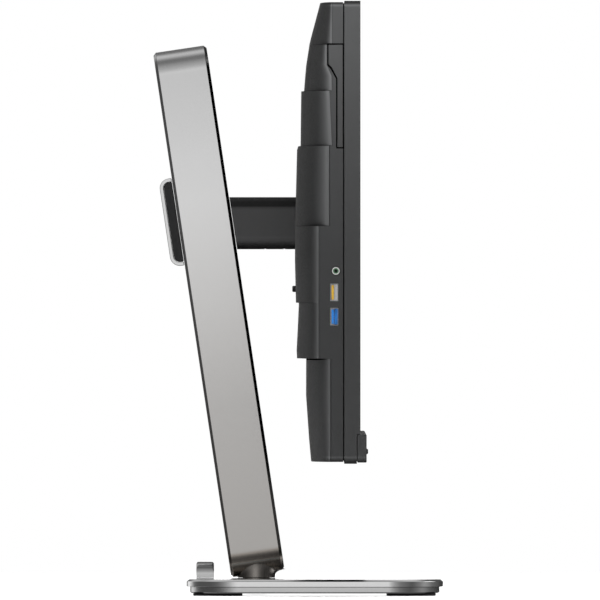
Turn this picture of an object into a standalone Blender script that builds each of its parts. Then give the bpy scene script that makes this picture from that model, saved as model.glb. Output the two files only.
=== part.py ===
"""Desk monitor on a leaning, height-adjustable column stand.

Metres, +Z up. The screen faces -Y, the user's left is -X, and the origin lies on the desk
under the middle of the object's bounding box. Every separate piece is one object.
"""
import math

import bmesh
import bpy
from mathutils import Matrix, Vector

MM = 0.001
GAP = 0.3 * MM                      # clearance between pieces that touch

# Display panel
PANEL_WIDTH = 612 * MM
PANEL_BOTTOM = 108.6 * MM
PANEL_TOP = 481.4 * MM
FRAME_FRONT = -50.1 * MM
FRAME_BACK = -36.5 * MM
FRAME_WALL = 2.0 * MM
CHIN_TOP = 132.1 * MM
CHIN_FRONT = -55.1 * MM
CHIN_BACK = -47.5 * MM
LENS_Z = 116.8 * MM                 # presence sensor's window in the chin
LENS_HALF = (11 * MM, 2.3 * MM)
COVER_INSET = 1.2 * MM              # the rear cover's side stands inside the frame's
COVER_WALL = 2.2 * MM
SPEAKER_X = 190 * MM
SPEAKER_SIZE = (84 * MM, 31 * MM)
SPEAKER_LOW = 115 * MM

BOARD_THICKNESS = 1.6 * MM
BOARD_REAR = -24.6 * MM
VESA_HALF = (66 * MM, 60 * MM, 37 * MM)    # across, up and the window in its middle

# Stand
LEAN = math.radians(8.5)
COLUMN_DEPTH = 43.9 * MM
COLUMN_WIDTH = 40 * MM
COLUMN_LENGTH = 433.3 * MM
COLUMN_FOOT = (32.9 * MM, 17 * MM)   # Y and Z of the middle of the column's lower end
BAND_WALL = 5 * MM
BAND_CHAMFER = 2 * MM
CORNER = COLUMN_WIDTH / 2 - 0.1 * MM    # both ends of the column are round
SLOT_HALF = 7 * MM
SLOT_LOW = 177.5 * MM               # along the column
SLOT_HIGH = 397.5 * MM
COVER_THICKNESS = 3 * MM            # covers in the column's two open faces
COVER_SETBACK = 3 * MM
RAIL = (12 * MM, 14.2 * MM)          # lift rails: across the column, along it and half their depth
RAIL_ENDS = (32 * MM, 400 * MM)
RAIL_HALF = 6 * MM
DRUM_RADIUS = 9 * MM
CARRIAGE_HALF = (11 * MM, 30 * MM)   # across and along the column
CARRIAGE_NECK = 18 * MM              # half the length of what reaches out through the slots
NECK_Y = 34.3 * MM
NECK_RADIUS = 15.4 * MM
NECK_FLARE = 7 * MM

# Base
BASE_FRONT = -118 * MM
BASE_REAR = 91.1 * MM
BASE_WIDTH = 254 * MM
BASE_CORNER = 45 * MM
PLATE_LOW = 7.3 * MM
PLATE_TOP = 13.4 * MM
UNDER_LOW = 2.1 * MM
UNDER_INSET = 3 * MM
FOOT_X = 88 * MM
FOOT_SIZE = 40 * MM
FOOT_ENDS = (("front", -91.8 * MM), ("rear", 65.4 * MM))    # Y of the feet's middles
HOOK_FRONT = 68.9 * MM
HOOK_REAR = 83.2 * MM
HOOK_TOP = 26.6 * MM
HOOK_HALF = 13 * MM
HOOK_SHEET = 2 * MM
HOOK_CORNER = 10 * MM

# Swivel, which turns in the base
WASHER = (12 * MM, 23 * MM, 5.5 * MM, 6.9 * MM)          # inner and outer radius, low, high
RETAINER = (4 * MM, 23 * MM, 3.4 * MM, 5.2 * MM)
SHAFT_RADIUS = 11 * MM
SCREW_BORE = 3.4 * MM

# Arm, hinge and quick-release plate
ARM_LOW = 282 * MM
ARM_TOP = 324.5 * MM
ARM_Z = (ARM_LOW + ARM_TOP) / 2
ARM_WIDTH = 34 * MM
ARM_END = 1.4 * MM
TILT_Y = -1 * MM
TILT_BORE = 2.35 * MM
KNUCKLE_HALF = 9 * MM
BRACKET_HALF = 14.5 * MM
BRACKET_TALL = 8 * MM
BRACKET_REAR = 10 * MM
PIN_RADIUS = 6 * MM                 # pivot pin
PLATE_HALF = 49.5 * MM              # quick-release plate
PLATE_BACK = -9 * MM
PLATE_FRONT = -14 * MM
SCREW_AT = 40 * MM                  # the plate's four screws, from its middle
SCREW_RADIUS = 4 * MM
WELL_HALF = 50.2 * MM               # recess in the rear cover that the plate sits in
WELL_FLOOR = -14.4 * MM
BAY_HALF = 120 * MM                 # recess for plugs, open to the back and downwards
BAY_FLOOR = -19.6 * MM
BAY_TOP = 194.9 * MM

# Cable clip behind the carriage
CLIP_LENGTH = 72 * MM
CLIP_WIDTH = 34 * MM
CLIP_REACH = 10.9 * MM
CLIP_CORNER = 8 * MM
CLIP_SHEET = 3 * MM
CLIP_RISE = 4.6 * MM                # its middle stands above the arm's

# Sockets on the side wall: Y and Z of their centres
JACK = (-30.3 * MM, 263.9 * MM)
JACK_RADIUS = 3.6 * MM
USB_FAST = (-28.9 * MM, 246.6 * MM)
USB_DATA = (-28.9 * MM, 227.1 * MM)
USB_SIZE = (6.8 * MM, 14.2 * MM)

# Button that frees the display from the stand: height, width and height of the button, its two ends
RELEASE_Z = 249.55 * MM
RELEASE_SIZE = (16 * MM, 5.1 * MM)
RELEASE_ENDS = (-11 * MM, 4.9 * MM)

# Rear cover: height, greatest depth (Y), depth of the crease beside the flat side wall.
# Two rows close together make one of the horizontal steps.
COVER_ROWS = [(row[0] * MM, row[1] * MM, row[2] * MM) for row in (
    (480.3, -17.7, -27.8), (450.6, -9.8, -27.8), (430.0, -6.4, -26.2), (409.3, -4.7, -27.6),
    (409.0, -2.4, -27.6), (387.0, -2.0, -26.8), (365.0, -1.9, -25.9),
    (364.7, 0.1, -25.6), (361.7, 1.0, -25.6), (300.3, 2.5, -25.6),
    (300.0, 2.5, -17.2), (272.8, 2.7, -17.2), (238.4, 1.9, -17.2),
    (238.1, -0.5, -17.2), (222.0, 0.2, -17.2), (200.1, 1.3, -17.2), (193.4, 1.0, -17.2),
    (193.1, -6.5, -26.6), (162.1, -6.4, -26.6), (128.8, -8.7, -26.6), (110.1, -10.4, -26.6))]
COVER_LATERAL = [v * MM for v in (301, 298, 294, 288, 280, 270, 257, 241, 224)]
PLATEAU_HALF = 215 * MM

MATERIALS = {
    "dark_plastic": ((0.055, 0.057, 0.062), 0.55, 0.0),
    "frame_plastic": ((0.075, 0.077, 0.082), 0.5, 0.0),
    "black_plastic": ((0.02, 0.02, 0.022), 0.5, 0.0),
    "screen_glass": ((0.008, 0.008, 0.01), 0.2, 0.0),
    "aluminium": ((0.55, 0.55, 0.54), 0.32, 1.0),
    "steel": ((0.5, 0.5, 0.5), 0.35, 1.0),
    "rubber": ((0.025, 0.025, 0.025), 0.85, 0.0),
    "circuit_board": ((0.02, 0.12, 0.05), 0.5, 0.0),
    "yellow_plastic": ((0.75, 0.5, 0.03), 0.45, 0.0),
    "blue_plastic": ((0.01, 0.18, 0.6), 0.45, 0.0),
}


def clear_scene():
    """Remove everything that the scene starts with."""
    for item in list(bpy.data.objects):
        bpy.data.objects.remove(item, do_unlink=True)


def new_collection(name):
    group = bpy.data.collections.new(name)
    bpy.context.scene.collection.children.link(group)
    return group


def make_material(name):
    colour, roughness, metallic = MATERIALS[name]
    material = bpy.data.materials.new(name)
    material.use_nodes = True
    shader = material.node_tree.nodes["Principled BSDF"]
    shader.inputs["Base Color"].default_value = (*colour, 1)
    shader.inputs["Roughness"].default_value = roughness
    shader.inputs["Metallic"].default_value = metallic
    return material


clear_scene()
PARTS = new_collection("computer_monitor")
CUTTERS = new_collection("cutters")
LOOKS = {name: make_material(name) for name in MATERIALS}


# ---------------------------------------------------------------- helpers

def link(name, mesh, look, cutter=False):
    """Put a mesh in the scene, as a part or as a cutter."""
    obj = bpy.data.objects.new(name, mesh)
    if cutter:
        CUTTERS.objects.link(obj)
        obj.hide_render = True
        obj.display_type = "WIRE"
    else:
        PARTS.objects.link(obj)
        mesh.materials.append(LOOKS[look])
    return obj


def box_mesh(name, low, high):
    """A box between two corners."""
    low, high = Vector(low), Vector(high)
    work = bmesh.new()
    bmesh.ops.create_cube(work, size=1, matrix=Matrix.Translation((low + high) / 2)
                          @ Matrix.Diagonal((*(high - low), 1)))
    mesh = bpy.data.meshes.new(name)
    work.to_mesh(mesh)
    work.free()
    return mesh


def box(name, low, high, look=None, bevel=0, segments=2, cutter=False):
    obj = link(name, box_mesh(name, low, high), look, cutter)
    if bevel:
        add_bevel(obj, bevel, segments)
    return obj


def add_bevel(obj, width, segments=2, angle=50):
    bevel = obj.modifiers.new("rounded_edges", "BEVEL")
    bevel.width = width
    bevel.segments = segments
    bevel.limit_method = "ANGLE"
    bevel.angle_limit = math.radians(angle)


def cylinder(name, centre, radius, length, axis, look=None, sides=32, cutter=False):
    """A cylinder about its centre; axis is 'X', 'Y' or 'Z'."""
    turn = {"X": Matrix.Rotation(math.pi / 2, 4, "Y"), "Y": Matrix.Rotation(math.pi / 2, 4, "X"),
            "Z": Matrix.Identity(4)}[axis]
    work = bmesh.new()
    bmesh.ops.create_cone(work, cap_ends=True, segments=sides, radius1=radius, radius2=radius,
                          depth=length, matrix=Matrix.Translation(centre) @ turn)
    mesh = bpy.data.meshes.new(name)
    work.to_mesh(mesh)
    work.free()
    shade(mesh)
    return link(name, mesh, look, cutter)


def shade(mesh, angle=35):
    mesh.shade_smooth()
    mesh.set_sharp_from_angle(angle=math.radians(angle))


def face_outwards(work):
    """Turn a closed body's faces so that they all point out."""
    bmesh.ops.recalc_face_normals(work, faces=work.faces)
    if work.calc_volume(signed=True) < 0:
        bmesh.ops.reverse_faces(work, faces=work.faces)


def boolean(obj, tool, operation="DIFFERENCE"):
    """Cut obj with a tool that stays among the cutters."""
    cut = obj.modifiers.new(operation.lower(), "BOOLEAN")
    cut.operation = operation
    cut.solver = "EXACT"
    cut.object = tool


def rounded_outline(width, length, corner_low, corner_high, steps=6):
    """Points of a rounded rectangle; its lower side lies at 0 and it is centred in width."""
    half = width / 2
    corners = ((half, 0, corner_low, -90), (half, length, corner_high, 0),
               (-half, length, corner_high, 90), (-half, 0, corner_low, 180))
    points = []
    for x, y, radius, start in corners:
        cx, cy = x - math.copysign(radius, x), y + (radius if y == 0 else -radius)
        for step in range(steps + 1):
            angle = math.radians(start + 90 * step / steps)
            points.append((cx + radius * math.cos(angle), cy + radius * math.sin(angle)))
    return points


def outline_curve(name, outlines, thickness, bevel=0.0, bevel_steps=0):
    """Flat closed outlines, filled and extruded; the second outline is a hole."""
    curve = bpy.data.curves.new(name, "CURVE")
    curve.dimensions = "2D"
    curve.fill_mode = "BOTH"
    curve.extrude = thickness / 2 - bevel
    curve.bevel_depth = bevel
    curve.bevel_resolution = bevel_steps
    curve.offset = -bevel
    for points in outlines:
        spline = curve.splines.new("POLY")
        spline.points.add(len(points) - 1)
        for point, (x, y) in zip(spline.points, points):
            point.co = (x, y, 0, 1)
        spline.use_cyclic_u = True
    return curve


def solid_from_curve(name, curve, matrix, look=None, cutter=False):
    """Turn a curve into a closed mesh in its place."""
    guide = bpy.data.objects.new(name + "_guide", curve)
    bpy.context.scene.collection.objects.link(guide)
    guide.matrix_world = matrix
    bpy.context.view_layer.update()
    graph = bpy.context.evaluated_depsgraph_get()
    mesh = bpy.data.meshes.new_from_object(guide.evaluated_get(graph))
    mesh.materials.clear()
    work = bmesh.new()
    work.from_mesh(mesh)
    bmesh.ops.remove_doubles(work, verts=work.verts, dist=0.01 * MM)
    work.transform(matrix)
    face_outwards(work)
    work.to_mesh(mesh)
    work.free()
    bpy.data.objects.remove(guide, do_unlink=True)
    shade(mesh)
    mesh.name = name
    return link(name, mesh, look, cutter)


def turned(name, profile, centre, look=None, steps=40, cutter=False):
    """A profile of (radius, height) points turned about the vertical through centre."""
    mesh = bpy.data.meshes.new(name)
    mesh.from_pydata([(r, 0, z) for r, z in profile], [(i, i + 1) for i in range(len(profile) - 1)], [])
    obj = link(name, mesh, look, cutter)
    obj.location = centre
    screw = obj.modifiers.new("turned", "SCREW")
    screw.steps = screw.render_steps = steps
    screw.use_merge_vertices = True
    screw.merge_threshold = 0.01 * MM
    screw.use_smooth_shade = True
    return obj


# Column frame of reference: X across, Y up along the column, Z out of its front face.
COLUMN_PLACE = (Matrix.Translation((0, *COLUMN_FOOT))
                @ Matrix(((1, 0, 0, 0), (0, math.sin(LEAN), -math.cos(LEAN), 0),
                          (0, math.cos(LEAN), math.sin(LEAN), 0), (0, 0, 0, 1))))


def on_column(across, along, out):
    """World point for a place given in the column's own frame."""
    return COLUMN_PLACE @ Vector((across, along, out))


def column_box(name, low, high, look=None, bevel=0, segments=2, cutter=False):
    """A box given in the column's own frame."""
    mesh = box_mesh(name, low, high)
    mesh.transform(COLUMN_PLACE)
    obj = link(name, mesh, look, cutter)
    if bevel:
        add_bevel(obj, bevel, segments)
    return obj


ARM_ALONG = (COLUMN_PLACE.inverted() @ Vector((0, COLUMN_FOOT[0] + 42.6 * MM, ARM_Z))).y
FRONT_FACE = COLUMN_DEPTH / 2


# ---------------------------------------------------------------- base

def base_outline(inset):
    depth = BASE_REAR - BASE_FRONT - 2 * inset
    points = rounded_outline(BASE_WIDTH - 2 * inset, depth, BASE_CORNER - inset, BASE_CORNER - inset, 8)
    return [(x, y + BASE_FRONT + inset) for x, y in points]


def make_base():
    thickness = PLATE_TOP - PLATE_LOW
    plate = solid_from_curve("base_plate", outline_curve("base_plate", [base_outline(0)], thickness),
                             Matrix.Translation((0, 0, (PLATE_TOP + PLATE_LOW) / 2)), "aluminium")
    add_bevel(plate, 1.6 * MM, 2, 60)
    boolean(plate, cylinder("neck_hole", (0, NECK_Y, PLATE_TOP), SHAFT_RADIUS + GAP, 30 * MM, "Z",
                            cutter=True))

    top = PLATE_LOW - GAP
    under = solid_from_curve("base_underplate",
                             outline_curve("base_underplate", [base_outline(UNDER_INSET)], top - UNDER_LOW),
                             Matrix.Translation((0, 0, (top + UNDER_LOW) / 2)), "steel")
    boolean(under, cylinder("bearing_hole", (0, NECK_Y, PLATE_LOW), WASHER[1] + 1.3 * MM, 30 * MM, "Z",
                            cutter=True))

    half = FOOT_SIZE / 2
    for end, y in FOOT_ENDS:
        for side, x in (("left", -FOOT_X), ("right", FOOT_X)):
            foot = box(f"foot_{end}_{side}", (x - half, y - half, 0), (x + half, y + half, UNDER_LOW - GAP),
                       "rubber")
            add_bevel(foot, 0.5 * MM, 1, 60)
    make_cable_hook()


def arch_line(half, foot, top, radius, inset=0.0, steps=6):
    """Points of an upside-down U with round corners, from its left foot to its right one."""
    points = [(inset - half, foot)]
    for middle, first in ((radius - half, 180), (half - radius, 90)):
        for step in range(steps + 1):
            angle = math.radians(first - 90 * step / steps)
            points.append((middle + (radius - inset) * math.cos(angle),
                           top - radius + (radius - inset) * math.sin(angle)))
    return points + [(half - inset, foot)]


def arch_band(half, foot, top, radius, sheet):
    """Outline of a sheet bent along an arch line."""
    return arch_line(half, foot, top, radius) + arch_line(half, foot, top, radius, sheet)[::-1]


def make_cable_hook():
    """Metal arch at the back of the base; the cables pass under it towards the desk's far edge."""
    outline = arch_band(HOOK_HALF, PLATE_TOP + GAP, HOOK_TOP, HOOK_CORNER, HOOK_SHEET)
    place = Matrix(((1, 0, 0, 0), (0, 0, -1, (HOOK_FRONT + HOOK_REAR) / 2), (0, 1, 0, 0), (0, 0, 0, 1)))
    curve = outline_curve("cable_hook", [outline], HOOK_REAR - HOOK_FRONT)
    solid_from_curve("cable_hook", curve, place, "steel")


def ring_profile(inner, outer, low, high):
    """Profile of a flat ring, to be turned."""
    return [(inner, high), (outer, high), (outer, low), (inner, low), (inner, high)]


def make_swivel():
    """Neck that turns in the base, with its retainer, washer and thumbscrew."""
    centre = (0, NECK_Y, 0)
    turned("swivel_washer", ring_profile(*WASHER), centre, "black_plastic")
    turned("swivel_retainer", ring_profile(*RETAINER), centre, "steel")
    foot, shaft_end, top = PLATE_TOP + GAP, WASHER[2], COLUMN_FOOT[1] + COLUMN_WIDTH / 2
    profile = [(SCREW_BORE, top), (NECK_RADIUS + NECK_FLARE, top)]
    for step in range(6):
        angle = math.radians(90 * step / 5)
        profile.append((NECK_RADIUS + NECK_FLARE * (1 - math.sin(angle)),
                        foot + NECK_FLARE * math.cos(angle)))
    profile += [(NECK_RADIUS, foot), (SHAFT_RADIUS, foot), (SHAFT_RADIUS, shaft_end),
                (SCREW_BORE, shaft_end), (SCREW_BORE, top)]
    neck = turned("swivel_neck", profile, centre, "steel")
    # It flares only to the front and the back, and its top is a saddle that fits the column's round end.
    sides = box("neck_sides", (-NECK_RADIUS, NECK_Y - 23 * MM, 0), (NECK_RADIUS, NECK_Y + 19 * MM, top),
                cutter=True)
    boolean(neck, sides, "INTERSECT")
    saddle = outline_curve("neck_saddle", [column_outline(-GAP)], 2 * COLUMN_DEPTH)
    boolean(neck, solid_from_curve("neck_saddle", saddle, COLUMN_PLACE, cutter=True))
    head = RETAINER[2] - GAP
    turned("base_thumbscrew", [(0, 16 * MM), (3 * MM, 16 * MM), (3 * MM, head), (9 * MM, head),
                               (9 * MM, 1.2 * MM), (0, 1.2 * MM)], centre, "steel", 24)


# ---------------------------------------------------------------- column

def column_outline(inset):
    points = rounded_outline(COLUMN_WIDTH - 2 * inset, COLUMN_LENGTH - 2 * inset,
                             CORNER - inset, CORNER - inset, 10)
    return [(x, y + inset) for x, y in points]


def make_column():
    """Aluminium loop with a dark cover in its front and its back, and the lift inside it."""
    band = outline_curve("column_band", [column_outline(0), column_outline(BAND_WALL)],
                         COLUMN_DEPTH, BAND_CHAMFER)
    solid_from_curve("column_band", band, COLUMN_PLACE, "aluminium")
    end = SLOT_HALF - 0.1 * MM
    slot = rounded_outline(2 * SLOT_HALF, SLOT_HIGH - SLOT_LOW, end, end, 4)
    slot = [(x, y + SLOT_LOW) for x, y in slot]
    cover = column_outline(BAND_WALL + GAP)
    setback = FRONT_FACE - COVER_SETBACK - COVER_THICKNESS / 2
    for name, middle in (("column_front_cover", setback), ("column_rear_cover", -setback)):
        plate = outline_curve(name, [cover, slot], COVER_THICKNESS)
        solid_from_curve(name, plate, COLUMN_PLACE @ Matrix.Translation((0, 0, middle)), "black_plastic")
    for side, sign in (("left", -1), ("right", 1)):
        near, far = sorted(sign * x for x in RAIL)
        column_box(f"guide_rail_{side}", (near, RAIL_ENDS[0], -RAIL_HALF), (far, RAIL_ENDS[1], RAIL_HALF),
                   "steel")
    drum = cylinder("lift_spring_drum", (0, 0, 0), DRUM_RADIUS, 16 * MM, "X", "steel", 24)
    drum_along = COLUMN_LENGTH - BAND_WALL - GAP - DRUM_RADIUS - 3.6 * MM
    drum.data.transform(Matrix.Translation(on_column(0, drum_along, 0)))


# ---------------------------------------------------------------- carriage and arm

def make_carriage():
    """Block that slides in the column, with the arm in front and the cable clip behind."""
    wide, long = CARRIAGE_HALF
    deep = FRONT_FACE - COVER_SETBACK - COVER_THICKNESS - 0.5 * MM
    body = column_box("carriage", (-wide, ARM_ALONG - long, -deep), (wide, ARM_ALONG + long, deep),
                      "black_plastic")
    across, reach = SLOT_HALF - GAP, FRONT_FACE + 0.1 * MM
    neck = column_box("carriage_neck", (-across, ARM_ALONG - CARRIAGE_NECK, -reach),
                      (across, ARM_ALONG + CARRIAGE_NECK, reach), cutter=True)
    boolean(body, neck, "UNION")
    make_arm()
    make_rear_clip()


def make_arm():
    front = on_column(0, ARM_ALONG, FRONT_FACE)
    half = ARM_WIDTH / 2
    arm = box("arm_cover", (-half, ARM_END, ARM_LOW), (half, front.y + 40 * MM, ARM_TOP), "dark_plastic",
              5 * MM, 3)
    behind = column_box("arm_back_cut", (-60 * MM, ARM_ALONG - 90 * MM, -120 * MM),
                        (60 * MM, ARM_ALONG + 90 * MM, FRONT_FACE + 0.4 * MM), cutter=True)
    boolean(arm, behind)
    half, tall, rear = BRACKET_HALF, BRACKET_TALL, BRACKET_REAR
    boolean(arm, box("bracket_room", (-half - GAP, -30 * MM, ARM_Z - tall - GAP),
                     (half + GAP, rear + 0.4 * MM, ARM_Z + tall + GAP), cutter=True))
    bracket = box("tilt_bracket", (-half, TILT_Y, ARM_Z - tall), (half, rear, ARM_Z + tall), "steel")
    boolean(bracket, shaft_rod("bracket_eye", 3.9 * MM, 2 * half), "UNION")
    fork = KNUCKLE_HALF + 0.4 * MM
    boolean(bracket, box("bracket_fork", (-fork, -30 * MM, ARM_Z - 20 * MM),
                         (fork, rear - 3.5 * MM, ARM_Z + 20 * MM), cutter=True))
    boolean(bracket, shaft_rod("bracket_hole", TILT_BORE, 60 * MM))
    shaft_rod("tilt_shaft", TILT_BORE - 0.1 * MM, 2 * half, "steel")


def shaft_rod(name, radius, length, look=None):
    """A rod on the tilt axis; without a look it is a cutter."""
    return cylinder(name, (0, TILT_Y, ARM_Z), radius, length, "X", look, 24, cutter=look is None)


def make_rear_clip():
    """Bright band bent round a dark block behind the column; cables pass under the band."""
    shape = (CLIP_LENGTH / 2, 0.4 * MM, CLIP_REACH, CLIP_CORNER)
    # The outline lies in the plane of the column's side: first value along it, second behind it.
    place = COLUMN_PLACE @ Matrix(((0, 0, 1, 0), (1, 0, 0, ARM_ALONG + CLIP_RISE), (0, -1, 0, -FRONT_FACE),
                                   (0, 0, 0, 1)))
    band = outline_curve("clip_band", [arch_band(*shape, CLIP_SHEET)], CLIP_WIDTH)
    solid_from_curve("clip_band", band, place, "aluminium")
    core = outline_curve("clip_core", [arch_line(*shape, CLIP_SHEET + GAP)], CLIP_WIDTH - 2 * MM)
    solid_from_curve("clip_core", core, place, "black_plastic")


# ---------------------------------------------------------------- tilt and pivot head

def make_head():
    """Knuckle on the tilt shaft; its flange carries the display's pivot."""
    tall = BRACKET_TALL - 0.6 * MM
    knuckle = box("tilt_knuckle", (-KNUCKLE_HALF, PLATE_BACK + GAP, ARM_Z - tall),
                  (KNUCKLE_HALF, TILT_Y, ARM_Z + tall), "steel")
    boolean(knuckle, shaft_rod("knuckle_barrel", 4.4 * MM, 2 * KNUCKLE_HALF), "UNION")
    boolean(knuckle, cylinder("knuckle_pin", (0, PLATE_BACK, ARM_Z), PIN_RADIUS, 14 * MM, "Y", sides=24,
                              cutter=True), "UNION")
    boolean(knuckle, shaft_rod("knuckle_bore", TILT_BORE, 30 * MM))


# ---------------------------------------------------------------- display: shell

def cover_loop(half_width, front, depth, crease, height):
    """One closed horizontal section through the rear cover, front line included."""
    right = [(half_width, front, height), (half_width, crease, height)]
    span = half_width - PLATEAU_HALF
    for x in COVER_LATERAL:
        x = min(x, half_width - 2 * MM)
        t = (x - PLATEAU_HALF) / span
        right.append((x, crease + (depth - crease) * (1 - t ** 2.6) ** 0.62, height))
    left = [(-x, y, z) for x, y, z in reversed(right)]
    return right + left


def loft(name, loops, look=None, cutter=False):
    """Closed solid through sections that have the same number of points."""
    count = len(loops[0])
    points = [point for loop in loops for point in loop]
    faces = [list(range(count)), list(range((len(loops) - 1) * count, len(loops) * count))]
    for row in range(len(loops) - 1):
        for i in range(count):
            a, b = row * count + i, row * count + (i + 1) % count
            faces.append([a, b, b + count, a + count])
    mesh = bpy.data.meshes.new(name)
    mesh.from_pydata(points, [], faces)
    work = bmesh.new()
    work.from_mesh(mesh)
    face_outwards(work)
    work.to_mesh(mesh)
    work.free()
    shade(mesh, 30)
    return link(name, mesh, look, cutter)


def row_at(height):
    """Depth and crease of the rear cover at any height."""
    for (z1, d1, c1), (z0, d0, c0) in zip(COVER_ROWS, COVER_ROWS[1:]):
        if z1 >= height >= z0:
            t = (height - z0) / (z1 - z0)
            return d0 + (d1 - d0) * t, c0 + (c1 - c0) * t
    return COVER_ROWS[-1][1:] if height < COVER_ROWS[-1][0] else COVER_ROWS[0][1:]


def cavity_row(height):
    """The cavity keeps a wall's thickness from the surface above and below it too."""
    near = [row_at(height + dz) for dz in (-COVER_WALL - GAP, 0, COVER_WALL + GAP)]
    return min(d for d, _ in near) - COVER_WALL, min(c for _, c in near) - COVER_WALL / 2


def make_rear_cover():
    half = PANEL_WIDTH / 2 - COVER_INSET
    front = FRAME_BACK + GAP
    cover = loft("rear_cover", [cover_loop(half, front, d, c, z) for z, d, c in COVER_ROWS], "dark_plastic")

    low, high = COVER_ROWS[-1][0] + COVER_WALL, COVER_ROWS[0][0] - COVER_WALL
    heights = [high, 450 * MM, 430 * MM, 411.6 * MM, 367.4 * MM, 335 * MM, 303 * MM, 298 * MM, 243 * MM,
               237.8 * MM, 220 * MM, 196 * MM, 190.6 * MM, 162 * MM, 130 * MM, low]
    loops = [cover_loop(half - COVER_WALL, front - 20 * MM, *cavity_row(z), z) for z in heights]
    cavity = loft("cover_cavity", loops, cutter=True)
    well = WELL_HALF + COVER_WALL
    boolean(cavity, box("well_walls", (-well, WELL_FLOOR - COVER_WALL, ARM_Z - well),
                        (well, 60 * MM, ARM_Z + well), cutter=True))
    bay = BAY_HALF + COVER_WALL
    boolean(cavity, box("bay_walls", (-bay, BAY_FLOOR - COVER_WALL, PANEL_BOTTOM - 10 * MM),
                        (bay, 60 * MM, BAY_TOP + COVER_WALL), cutter=True))
    boolean(cover, cavity)
    boolean(cover, box("well_room", (-WELL_HALF, WELL_FLOOR, ARM_Z - WELL_HALF),
                       (WELL_HALF, 60 * MM, ARM_Z + WELL_HALF), cutter=True))
    boolean(cover, box("well_window", (-38 * MM, WELL_FLOOR - 10 * MM, ARM_Z - 38 * MM),
                       (38 * MM, WELL_FLOOR + 1 * MM, ARM_Z + 38 * MM), cutter=True))
    boolean(cover, box("bay_room", (-BAY_HALF, BAY_FLOOR, PANEL_BOTTOM - 10 * MM),
                       (BAY_HALF, 60 * MM, BAY_TOP), cutter=True))
    for name, (x, wide, deep) in REAR_SOCKETS.items():
        across, along = wide / 2 + GAP, deep / 2 + GAP
        boolean(cover, box(name + "_hole", (x - across, SOCKET_Y - along, 190 * MM),
                           (x + across, SOCKET_Y + along, 205 * MM), cutter=True))
    cut_side_openings(cover, half)
    return cover


# Sockets that open downwards in the bay: X of the middle, width, depth
REAR_SOCKETS = {"power_inlet": (-96 * MM, 27 * MM, 14 * MM), "hdmi_socket": (-55 * MM, 15 * MM, 5.5 * MM),
                "displayport_socket": (-28 * MM, 17 * MM, 5.5 * MM), "usb_c_socket": (0, 9 * MM, 3.4 * MM)}
SOCKET_Y = -11 * MM


def make_rear_sockets():
    """Sockets that open downwards; the video ones have a tongue in the middle of their mouth."""
    for name, (x, wide, deep) in REAR_SOCKETS.items():
        is_power = name == "power_inlet"
        body = box(name, (x - wide / 2, SOCKET_Y - deep / 2, 193.6 * MM),
                   (x + wide / 2, SOCKET_Y + deep / 2, 208 * MM), "black_plastic" if is_power else "steel")
        wall = 0.9 * MM if is_power else 0.5 * MM
        mouth = box(name + "_mouth", (x - wide / 2 + wall, SOCKET_Y - deep / 2 + wall, 190 * MM),
                    (x + wide / 2 - wall, SOCKET_Y + deep / 2 - wall, 203 * MM), cutter=True)
        if not is_power:
            boolean(mouth, box(name + "_tongue", (x - wide * 0.36, SOCKET_Y - 0.4 * MM, 194.6 * MM),
                               (x + wide * 0.36, SOCKET_Y + 0.4 * MM, 210 * MM), cutter=True))
        boolean(body, mouth)


def trim_outline(grow):
    """Flag-shaped trim beside the seam: Y and Z of its corners."""
    y_front, y_rear, y_waist = -36.1 * MM - grow, -27.8 * MM + grow, -32.2 * MM + grow
    return [(y_front, 363.6 * MM - grow), (y_waist, 363.6 * MM - grow), (y_waist, 419 * MM - grow),
            (y_rear, 427.8 * MM - grow), (y_rear, 446 * MM + grow), (y_front, 446 * MM + grow)]


def cut_side_openings(cover, half):
    place = Matrix(((0, 0, 1, 0), (1, 0, 0, 0), (0, 1, 0, 0), (0, 0, 0, 1)))
    for side, sign in (("left", -1), ("right", 1)):
        at = Matrix.Translation((sign * half, 0, 0)) @ place
        room = outline_curve("trim_room", [trim_outline(0.35 * MM)], 2.6 * MM)
        boolean(cover, solid_from_curve(f"trim_room_{side}", room, at, cutter=True))
        trim_at = Matrix.Translation((sign * (half - 0.5 * MM), 0, 0)) @ place
        trim = outline_curve("side_trim", [trim_outline(0)], 0.9 * MM)
        solid_from_curve(f"side_trim_{side}", trim, trim_at, "dark_plastic")
    hole = cylinder("jack_hole", (-half, *JACK), JACK_RADIUS + GAP, 12 * MM, "X", sides=24, cutter=True)
    boolean(cover, hole)
    wide, tall = USB_SIZE[0] / 2 + GAP, USB_SIZE[1] / 2 + GAP
    for name, (y, z) in (("fast", USB_FAST), ("data", USB_DATA)):
        boolean(cover, box(f"usb_hole_{name}", (-half - 8 * MM, y - wide, z - tall),
                           (-half + 8 * MM, y + wide, z + tall), cutter=True))
    wide, tall = RELEASE_SIZE[0] / 2 + 0.4 * MM, RELEASE_SIZE[1] / 2 + GAP
    boolean(cover, box("release_hole", (-wide, -30 * MM, RELEASE_Z - tall),
                       (wide, 30 * MM, RELEASE_Z + tall), cutter=True))


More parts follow.
